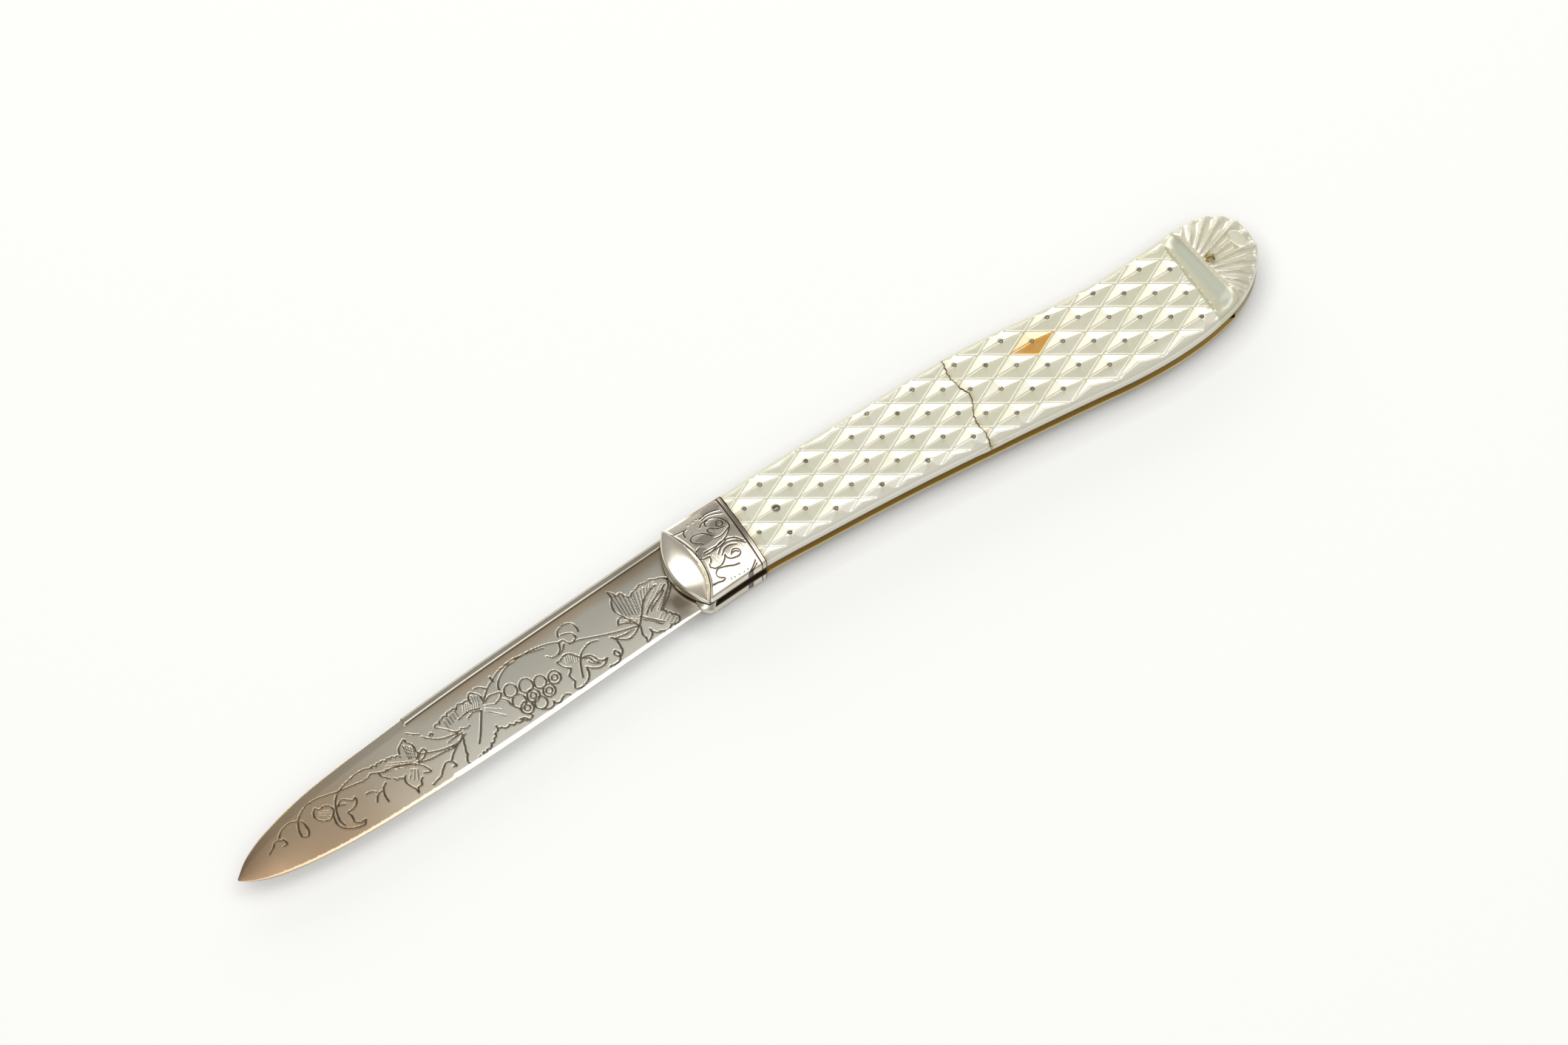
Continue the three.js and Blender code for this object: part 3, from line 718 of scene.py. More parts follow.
# Height of the carved surface: the rounded slab, cut by the vees of both families of grooves
# ahead of the band, by the hollow of the band, and by round-bottomed flutes behind its ridge
def carvedHeight(lattice, x, y):
    c = carving
    rimGap = gapTo(x, y, rim)
    inset = np.clip(1 - rimGap / c["edgeRadius"], 0, 1)
    height = c["top"] - c["edgeDrop"] * (1 - np.sqrt(1 - inset**2))
    waver = 0.018 * wander(x, y, 9.0, 0.7)
    along, across, spacing = latticeSteps(lattice, x, y)
    slope = 2 * c["grooveDepth"] / (spacing - c["apexFlat"])
    band, pastEdge = bandShare(x, y)
    stop = ease(pastEdge, -0.1, 0.9)
    for place in (along + waver, across - waver):
        fromGroove = spacing * (0.5 - np.abs(place - np.round(place)))
        vee = c["top"] - c["grooveDepth"] + slope * np.hypot(fromGroove, 0.05) + 2 * stop
        height = np.minimum(height, vee)
    hollow = np.sin(math.pi * np.clip(band, 0, 1) ** 1.25) ** 0.8
    runsOut = np.where(y < 0, ease(rimGap, 0.1, 1.9), ease(rimGap, -0.3, 0.5))  # over the upper rim
    height = height - c["bandDepth"] * hollow * runsOut
    dx, dy = x - c["fluteCentre"][0], y - c["fluteCentre"][1]
    turn = (np.degrees(np.arctan2(dy, dx)) - c["fluteTurn"]) / c["fluteAngle"]
    fold = np.abs(turn - np.round(turn))
    behind = x - c["ridge"][0] - c["ridge"][1] * y
    start, full = c["fluteStart"]
    deep = c["fluteDepth"] * np.clip((behind - start) / (full - start), 0, 1) ** 0.6
    fromChip = np.hypot((x - c["chip"][0]) / c["chipSize"][0], (y - c["chip"][1]) / c["chipSize"][1])
    chipped = ease(-fromChip, -1.15, -0.85)
    fromRidge = np.radians((0.5 - fold) * c["fluteAngle"]) * np.hypot(dx, dy)
    bead = c["bead"][1] * np.exp(-((fromRidge / c["bead"][0]) ** 2)) * ease(behind, start, start + 0.6)
    deep = deep * (0.4 + 0.6 * ease(rimGap, 0.0, 0.8))
    height = height - (deep * (1 - (2 * fold) ** 2) - bead * ease(rimGap, 0.0, 0.8)) * (1 - chipped)
    height = np.minimum(height, c["top"] + 0.03)
    # Painted shade on one side of each raised line of the fan
    crease = np.exp(-(((fromRidge - 0.22) / 0.12) ** 2)) * (turn > np.round(turn))
    crease = crease * ease(behind, start, start + 0.6) * ease(rimGap, 0.0, 0.8) * (1 - chipped)
    return height, band, along, across, chipped, crease


# Distance to the nearest pin, and how far each point lies above and beside it in the picture
def nearestPin(x, y, places):
    gap = np.full(x.shape, 1e9)
    above, beside = np.zeros(x.shape), np.zeros(x.shape)
    right, up, _ = cameraAxes()
    up = up[:2] / np.hypot(*up[:2])
    for px, py in places:
        dx, dy = x - px, y - py
        closer = np.hypot(dx, dy) < gap
        gap = np.where(closer, np.hypot(dx, dy), gap)
        above = np.where(closer, dx * up[0] + dy * up[1], above)
        beside = np.where(closer, dx * right[0] + dy * right[1], beside)
    return gap, above, beside


# Marks for the finish, each from 0 to 1: bell curves about pins, rivets, crack and ridge, and
# smooth steps over the band, the lower rim, the fan and the stained pyramid
def scaleMarks(lattice, x, y, band, along, across, front):
    c = carving
    hollow = ease(band, 0.2, 0.6) * (1 - ease(band, 0.88, 1.0)) * ease(gapTo(x, y, rim), 0.2, 1.6)
    # Paler over the margin of the lower rim, painted light where its rounding faces away from the light;
    # paler too over the fan
    pale = np.where(y < 0, ease(-gapTo(x, y, rim), -2.4, -1.2), 0) * (band < 0)
    pale = pale + 0.6 * ease(band, 1.0, 1.3)
    fromRivet = np.hypot(x - c["rivet"][0], y - c["rivet"][1])
    yellow = 0.5 * np.exp(-(((fromRivet - 0.7) / 0.5) ** 2))
    yellow = np.maximum(yellow, 0.6 * np.exp(-(((x - c["front"]) / 0.45) ** 2)))
    yellow = np.maximum(yellow, 0.35 * np.exp(-(((band - 1.03) / 0.05) ** 2)))
    pinGap, above, beside = nearestPin(x, y, frontPins if front else backPins)
    # A yellow streak below each pin in the picture: painted shadow
    pinShadow = np.exp(-((beside / 0.17) ** 2)) * ease(-above, 0.2, 0.35) * ease(above, -1.15, -0.5)
    wear = 0.25 + 0.12 * wander(x, y, 11.0, 2.2)
    yellow = np.maximum(yellow, wear * np.exp(-((pinGap / 0.5) ** 2)))
    yellow = np.maximum(yellow, 0.45 * pinShadow)
    if front:
        yellow = np.maximum(yellow, 0.1 * ease(x, 34.0, 44.0))
    amber = np.zeros(x.shape)
    # A brown ring round each pin, a dark joint, made stronger on the pin's upper side in the picture as
    # painted shade
    shaded = np.clip(0.35 + 0.9 * (above - beside) / np.maximum(pinGap, 0.05), 0, 1)
    brown = np.exp(-(((pinGap - pins["radius"] - 0.05) / 0.09) ** 2)) * shaded
    heads = ((rivets["scaleAt"], rivets["scaleRadius"]), (c["rivet"], rivets["tailRadius"]))
    for place, radius in heads:
        ring = np.hypot(x - place[0], y - place[1]) - radius
        brown = np.maximum(brown, 0.92 * np.exp(-((ring / 0.11) ** 2)))
    if front:
        fromCrack = x - crackAt(y)
        glue = np.where(fromCrack > 0, 0.55, 0.25)
        yellow = np.maximum(yellow, 0.7 * np.exp(-((fromCrack / glue) ** 2)))
        brown = np.maximum(brown, 0.95 * np.exp(-((fromCrack / 0.1) ** 2)))
        i, j, _ = latticeSteps(lattice, *onFace([stainedAt], c["top"])[0])
        di, dj = along - np.round(i), across - np.round(j)
        inside = ease(0.5 - np.maximum(np.abs(di), np.abs(dj)), 0.0, 0.04)
        shady = ease(di - dj, -0.06, 0.06)  # painted shade: more of the stain on the two facets away from the light
        amber = shady * (1.0 - 0.9 * np.clip(-di, 0, 1)) + (1 - shady) * 0.35
        amber = amber + 0.4 * np.exp(-((np.hypot(di, dj) / 0.16) ** 2))
        amber = amber + 0.12 * wander(x, y, 2.2, 1.0)
        amber = 0.85 * inside * np.clip(amber, 0, 1)
        yellow = np.maximum(yellow, 0.6 * inside)
        # A brown disc where a pin is lost: painted shade of the empty hole, which is not cut
        hole = np.hypot(x - emptyHole[0], y - emptyHole[1])
        brown = np.maximum(brown, 0.97 * ease(-hole, -0.3, -0.22))
    marks = {"hollow": hollow, "pale": pale, "yellow": np.clip(yellow, 0, 1)}
    return {**marks, "amber": amber, "brown": brown}


# Shares across a scale from rim to rim, closer together where it rounds over
def acrossShares(step):
    close = np.array([0, 0.0006, 0.002, 0.0045, 0.008, 0.013])
    middle = np.linspace(0.019, 0.981, int(13.0 / step))
    return np.concatenate([close, middle, 1 - close[::-1]])


# A scale between two ends: stations along it, shares across it, the end at the crack bent to it
def scaleGrid(start, end, step, crackEnd=0):
    if end >= tailX:
        bend = tailX - carving["tailBend"]
        turn = np.linspace(0, math.pi / 2 - 0.02, int(carving["tailArc"] / step))
        closing = bend + carving["tailBend"] * np.sin(turn)
        stations = np.concatenate([np.arange(start, bend, step), closing])
    else:
        stations = np.linspace(start, end, int((end - start) / step))
    low, high = rimHeights(stations)
    y = low[:, None] + acrossShares(step)[None] * (high - low)[:, None]
    x = np.broadcast_to(stations[:, None], y.shape).copy()
    if crackEnd:
        target = crackAt(y) - crackEnd * carving["crackGap"] / 2
        crackSide = end if crackEnd > 0 else start
        share = np.clip(1 - np.abs(x - crackSide) / 3.0, 0, 1)
        x = x + share * (target - crackSide)
    return x, y


# One scale: the carved height over its grid; the back one is drawn in from the rim
def makeScale(name, lattice, start, end, node, crackEnd=0, side=1):
    front, base = side > 0, handle["base"]
    x, y = scaleGrid(start, end, carving["step"] if front else carving["backStep"], crackEnd)
    if not front:
        low, high = rimHeights(x[:, :1])
        middle = (low + high) / 2
        y = middle + (y - middle) * (1 - carving["backInset"] * 2 / np.maximum(high - low, 2.0))
    height, band, along, across, chipped, crease = carvedHeight(lattice, x, y)
    height = np.maximum(height - carving["chipDepth"] * chipped * front, base + 0.1)
    marks = scaleMarks(lattice, x, y, band, along, across, front)
    marks["brown"] = np.maximum(marks["brown"], carving["creaseStain"] * crease)
    piece = slabMesh(name, x, y, side * height, side * base, pearl, marks)
    fit(piece, "handle", "pearl", node)


bolsterX, crackX = carving["front"], carving["crackMiddle"]
makeScale("front_scale_fore", foreLattice, bolsterX, crackX, "scale_front_fore", crackEnd=1)
makeScale("front_scale_rear", rearLattice, crackX, tailX, "scale_front_rear", crackEnd=-1)
makeScale("back_scale", rearLattice, bolsterX, tailX, "scale_back", side=-1)
print("scales carved")

draw = np.random.default_rng(7)
profile = np.array(pins["profile"])
pinNodes = [name for name in frame["nodes"] if name.startswith("scale_pin_")]
fit(
    turnedMesh("front_pins", frontPins, profile, pins["sides"], pinSilver,
               draw.normal(0, pins["lean"], (len(frontPins), 2))),
    "handle", "pin_silver", *pinNodes,
)
fit(
    turnedMesh("back_pins", backPins, profile * (1, -1), pins["sides"], pinSilver),
    "handle", "pin_silver",
)
print(len(frontPins), "front pins,", len(backPins), "back pins")


# Rivet: a shank with a low domed head, its rim eased
def rivetProfile(radius, bottom, top):
    return [
        (radius, bottom), (radius, top - 0.16), (0.95 * radius, top - 0.11), (0.8 * radius, top - 0.055),
        (0.5 * radius, top - 0.015), (0.15 * radius, top),
    ]


for name, side in (("scale_rivet_front", 1), ("scale_rivet_back", -1)):
    shape = np.array(rivetProfile(rivets["scaleRadius"], handle["slotHalf"], rivets["top"]))
    fit(
        turnedMesh(name + "_head", np.array([rivets["scaleAt"]]), shape * (1, side), 24, pinSilver),
        "handle", "rivet_brass", name,
    )
half = np.array(rivetProfile(rivets["tailRadius"], 0.0, rivets["top"]))
both = np.vstack([(half * (1, -1))[:0:-1], half[1:]])
fit(
    turnedMesh("tail_rivet_body", np.array([carving["rivet"]]), both, 28, rivetBrass),
    "handle", "rivet_brass", "tail_rivet",
)

# Bolsters: a crowned panel with scroll engraving, a domed lens at the nose, a rim at the joint
bolster = {
    "rear": 4.48,
    "top": 3.15,
    "edgeHeight": 1.1,
    "overhang": 0.6,
    "panelDepth": 0.15,
    "rimWidth": 0.62,
    "lensRear": (-2.7, -0.3),
    "lensRise": 0.4,
    "lensCrest": 3.9,  # height of the lens's highest point, and how fast it falls from there
    "lensBend": 0.0185,
    "lensFoot": 0.03,  # and faster still near its lower end
    "cutDepth": 0.03,
    "cutHalf": 0.18,
    "noseRound": 0.55,  # how far the lens rounds down at the nose
    "face": 2.85,  # height at which the engraving is laid out
    "hatchHalf": 0.09,
    "ridge": (0.22, 0.1, 0.1),  # line along the lens: distance from it, half its width, its height
}
# Scroll engraving, read from the photograph in its pixels
scrolls = {
    "crest": [(900, 723.5), (908, 723.5), (916, 721), (924, 717)],
    "hook": [(927.5, 715), (925, 718), (924.5, 723), (927, 727)],
    "topLine": [(946, 701), (954, 694), (963, 690), (972, 688)],
    "topLineInner": [(948, 703.5), (956, 697), (966, 694), (976, 693)],
    "upperVoluteOuter": [
        (946, 713), (948.5, 707.5), (954, 703), (962, 700), (971, 700), (979, 703), (984.5, 707.5),
        (986.5, 711.5),
    ],
    "upperVoluteHook": [(956.5, 704), (953.5, 705), (952.5, 709), (955, 712)],
    "upperEye": [
        (967, 706), (971, 704), (976, 705.5), (976.5, 709), (973, 711.5), (969, 711), (968, 708),
        (971, 707),
    ],
    "upperCrescent": [(955, 717), (959, 714.5), (966, 715), (974, 714), (979, 711.5)],
    "upperCrescentTail": [(956.5, 717), (957.5, 719.5), (961.5, 721)],
    "longStem": [
        (952.5, 747.5), (961.5, 742.5), (971, 737), (978, 730), (982.5, 723.5), (985, 717), (986.5, 710),
    ],
    "longStemSecond": [(966, 728.5), (974, 725), (980.5, 718.5), (984.5, 713)],
    "longStemThird": [(956, 750), (966, 744), (975, 737.5), (981, 731)],
    "leftScroll": [
        (963, 725), (957.5, 723), (950, 721.5), (941.5, 723), (935.5, 726.5), (933.5, 730.5), (935, 733.5),
        (940.5, 735.5), (947, 735.5), (951, 736.5),
    ],
    "leftHollow": [(945.5, 741), (941.5, 746.5), (941.5, 753), (945.5, 757), (952.5, 756), (959, 752.5)],
    "leftHook": [(959, 752.5), (961, 757), (960.5, 761)],
    "lowerArcOuter": [(959, 749), (966, 742.5), (974, 733), (983, 728.5), (994, 727), (1004.5, 730.5)],
    "lowerArcMiddle": [(971, 749), (974, 741), (980.5, 734.5), (990, 731), (999, 731), (1007.5, 733)],
    "lowerArcInner": [(976.5, 750), (979, 742.5), (986, 737), (995, 735.5)],
    "lowerEye": [
        (988.5, 749), (990, 743.5), (994, 741.5), (999, 742.5), (1001, 746.5), (999, 750.5), (994, 753),
        (988.5, 754.5), (983, 753), (980, 749.5),
    ],
    "lowerEyeInner": [(990.5, 746.5), (994, 744.5), (998.5, 745)],
    "leafTop": [(1000, 760.5), (994, 763), (984.5, 764.5), (976.5, 766.5), (970, 769), (968, 774.5)],
    "leafTip": [
        (968, 774.5), (970, 778.5), (975, 780), (981, 780.5), (978, 784), (971, 786.5), (964.5, 790),
    ],
    "leafStem": [(980, 749.5), (979, 757), (975, 764), (967, 768.5)],
    "leafBarb": [(959, 763), (960.5, 766.5), (966, 768)],
    "fanLow": [(1011.5, 776.5), (1018, 765), (1021.5, 756)],
    "fanHigh": [(1014, 775), (1020, 766), (1023.5, 760)],
}
scrollDots = [
    (930, 709), (936.5, 705), (941, 701.5), (945.5, 699.5), (951, 697), (954.5, 693.5), (989, 781),
    (994, 778.5), (1000, 775), (1006.5, 771.5), (1011.5, 768),
]
# Short strokes that hatch the ground between the scrolls: start, end, how many, step to the next
scrollHatch = [
    ((962, 795), (957, 786), 9, (1.6, -4.2)), ((1016, 744), (1009, 752), 8, (-1.6, 3.4)),
    ((958, 706), (963, 712), 5, (2.6, -1.6)), ((987, 720), (993, 727), 6, (2.4, 2.2)),
    ((930, 720), (936, 724), 5, (3.2, -3.0)), ((964, 752), (970, 760), 6, (1.8, 1.6)),
]
# Tarnished ground between the scrolls, and last a painted shade on the panel's lower left that holds back a
# highlight: pixel of the middle, radii in mm along and across, strength
scrollShade = [
    ((953, 730), (1.6, 0.7), 0.5), ((950, 749), (0.85, 0.8), 0.55), ((971, 708), (1.5, 0.8), 0.45),
    ((996, 722), (1.0, 1.4), 0.3), ((985, 742), (0.8, 0.7), 0.4), ((962, 685), (1.8, 0.6), 0.5),
    ((957, 783), (0.8, 1.3), 0.45),
]


# Families of equal strokes set side by side
def hatched(families, height, width, strength):
    cuts = []
    for start, end, count, step in families:
        for k in range(count):
            shift = np.array(step) * k
            line = np.array([start, end]) + shift
            cuts.append((onFace(line, height), width, strength))
    return cuts


# A set of named strokes, each a smooth curve on a level face
def curved(strokes, height, width, strength):
    return [(smoothThrough(onFace(line, height), 8), width, strength) for line in strokes.values()]


# Grid of a bolster: shares from the nose's arc back to the joint, and across from rim to rim, both
# closer together at the ends
def bolsterSurface(fine):
    across = [[0, 0.002, 0.006, 0.012], np.linspace(0.02, 0.98, fine), [0.988, 0.994, 0.998, 1]]
    along = [[0, 0.003, 0.009, 0.018], np.linspace(0.03, 0.985, fine), [0.991, 0.996, 1]]
    across, along = np.concatenate(across), np.concatenate(along)
    noseX = frontX + 4 * across * (1 - across) * (handle["nose"][0] - frontX)
    x = noseX[None] + along[:, None] * (bolster["rear"] - noseX)[None]
    low, high = rimHeights(np.clip(x, frontX, None))
    y = low + across[None] * (high - low)
    return x, y


# Height of a bolster: a crown across the knife; ahead of the lens's rear arc a cushion that
# falls to its edges; at the joint a rim that stands above the panel
def bolsterHeight(x, y):
    b = bolster
    upper, lower = handle["rim"][-1], handle["rim"][0]
    middle, halfWide = (upper[1] + lower[1]) / 2, (upper[1] - lower[1]) / 2 + b["overhang"]
    edge = handle["base"] + b["edgeHeight"]
    share = (y - middle) / halfWide
    panel = edge + (b["top"] - b["panelDepth"] - edge) * (1 - share**2)
    arc = arcThrough(lower, b["lensRear"], upper, 80)
    lensX = np.interp(y, arc[:, 1], arc[:, 0])
    noseX = np.interp(y, nose[::-1, 1], nose[::-1, 0])
    width = np.maximum(lensX - noseX, 1e-3)
    u = np.clip((x - noseX) / width, 0, 1)
    fall = 1 - (2 * u - 1) ** 2
    size = np.clip(width / (b["lensRear"][0] - handle["nose"][0]), 0, 1)
    cushion = b["top"] - 0.02 - b["lensBend"] * (y - b["lensCrest"]) ** 2
    cushion = cushion - b["lensRise"] * (1 - fall) * size
    cushion = cushion - b["lensFoot"] * np.clip(-1.6 - y, 0, None) ** 2
    cushion = cushion - b["noseRound"] * np.clip(1 - u / 0.1, 0, 1) ** 2 * size
    inLens = ease(lensX - x, -0.02, 0.05)
    arcGap = gapTo(x, y, arc)
    ridgeAt, ridgeHalf, ridgeRise = b["ridge"]
    ridge = ridgeRise * np.exp(-(((arcGap - ridgeAt) / ridgeHalf) ** 2)) * (x > lensX)
    height = panel + ridge
    height = height + inLens * (cushion - height)
    fromRear = b["rear"] - x
    onRim = ease(-fromRear, -b["rimWidth"], -b["rimWidth"] + 0.1)
    rimTop = edge + (b["top"] - edge) * (1 - share**2)
    height = height + onRim * (rimTop - height)
    cuts = curved(scrolls, b["face"], b["cutHalf"], 1.0)
    cuts += [(np.array([dot, dot]), b["cutHalf"], 1.0) for dot in onFace(scrollDots, b["face"])]
    cuts += hatched(scrollHatch, b["face"], b["hatchHalf"], 0.5)
    cut = cutField(x, y, cuts) * (1 - inLens) * (1 - onRim)
    line = np.exp(-(((arcGap - 0.05) / 0.07) ** 2)) * (x > lensX)
    line = np.maximum(line, np.exp(-(((fromRear - b["rimWidth"] - 0.04) / 0.12) ** 2)))
    line = np.maximum(line, 0.7 * np.exp(-(((fromRear - 0.3) / 0.06) ** 2)))
    cut = np.maximum(cut, line)
    height = height - b["cutDepth"] * cut
    eased = np.exp(-((gapTo(x, y, np.vstack([rim, nose])) / 0.12) ** 2))
    dull = np.zeros(x.shape)
    for place, reach, strength in scrollShade:
        spot = onFace([place], b["face"])[0]
        far = np.hypot((x - spot[0]) / reach[0], (y - spot[1]) / reach[1])
        dull = np.maximum(dull, strength * ease(-far, -1.15, -0.8))
    dull = dull * (1 - inLens) * (1 - onRim)
    # Darker over the rim's upper part, and painted shade along the rounded top edge that holds back a
    # highlight
    dull = np.maximum(dull, 0.55 * onRim * ease(y, -4.0, -1.0))
    fromTop = rimHeights(np.clip(x, frontX, None))[1] - y
    dull = np.maximum(dull, 0.9 * ease(-fromTop, -0.5, -0.2) * ease(x, -1.5, 0.5))
    cut = np.maximum(cut, ease(-fromRear, -0.16, -0.1))
    return height - 0.08 * eased, {"cut": cut, "panel": (1 - inLens) * (1 - onRim), "dull": dull}


for name, side, fine in (("bolster_front", 1, 280), ("bolster_back", -1, 170)):
    x, y = bolsterSurface(fine)
    height, marks = bolsterHeight(x, y)
    piece = slabMesh(name + "_cap", x, y, side * height, side * handle["base"], bolsterSilver, marks)
    fit(piece, "handle", "bolster_silver", name)
print("bolsters engraved")

# Blade
blade = {
    "ribEnd": -45.6,
    "ribRunOut": 0.25,
    "stations": [  # x, back, edge
        (-4, 6.2, -5), (-13.7, 5.52, -5.75), (-24, 4.77, -6.55), (-34.7, 3.93, -7.36),
        (-45.6, 2.87, -7.91), (-50, 2.34, -8.05), (-56, 1.6, -8.15), (-62, 0.6, -7.97),
        (-66.5, -0.58, -7.53), (-70, -1.83, -6.87), (-72.6, -3.27, -5.9), (-73.6, -4.1, -5.27),
        (-74.2, -4.62, -4.87),
    ],
    "ribWidth": 1.35,  # with the slope beside it
    # Ground strip along the edge: x and width, narrow at the heel and past the nick
    "ground": [
        (-4, 0.12), (-6, 0.16), (-8, 0.32), (-13, 0.46), (-28, 0.56), (-43.8, 0.58), (-44.2, 0.34),
        (-74.3, 0.26),
    ],
    "groundAngle": 12.5,  # degrees
    "nickAt": -44.0,
    "ribHalf": 0.6,
    "flatHalf": 0.47,
    "brinkHalf": 0.3,  # where the ground strip begins
    "edgeHalf": 0.07,
    "cutDepth": 0.02,
    "cutHalf": 0.16,
    "stain": 0.05,  # the dark in the cuts is laid this much towards the edge, painted shade on that side of each cut
    "heel": (-7.4, -3.0, 3.0, 3.0),  # patch of painted shade at the heel beside the bolster: middle and radii
    "fullWidth": 5.85,  # the blade gets thinner where it is narrower than this
    "step": 0.1,
    "fineFrom": -73.4,  # finer steps from here to the tip
    "ribShares": [  # places of the grid's lines across the rib
        0, 0.022, 0.044, 0.2, 0.38, 0.49, 0.533, 0.556, 0.578, 0.65, 0.726, 0.755, 0.785, 0.815,
        0.85, 0.889,
    ],
    "flatLines": 86,  # lines across the flat
    "groundShares": [0, 0.2, 0.4, 0.6, 0.8, 0.94, 1],
    "grooveAt": (1.1, 0.11),  # dark line beside the rib: distance from the back, half its width
    "face": 0.42,  # height at which the engraving is laid out
}
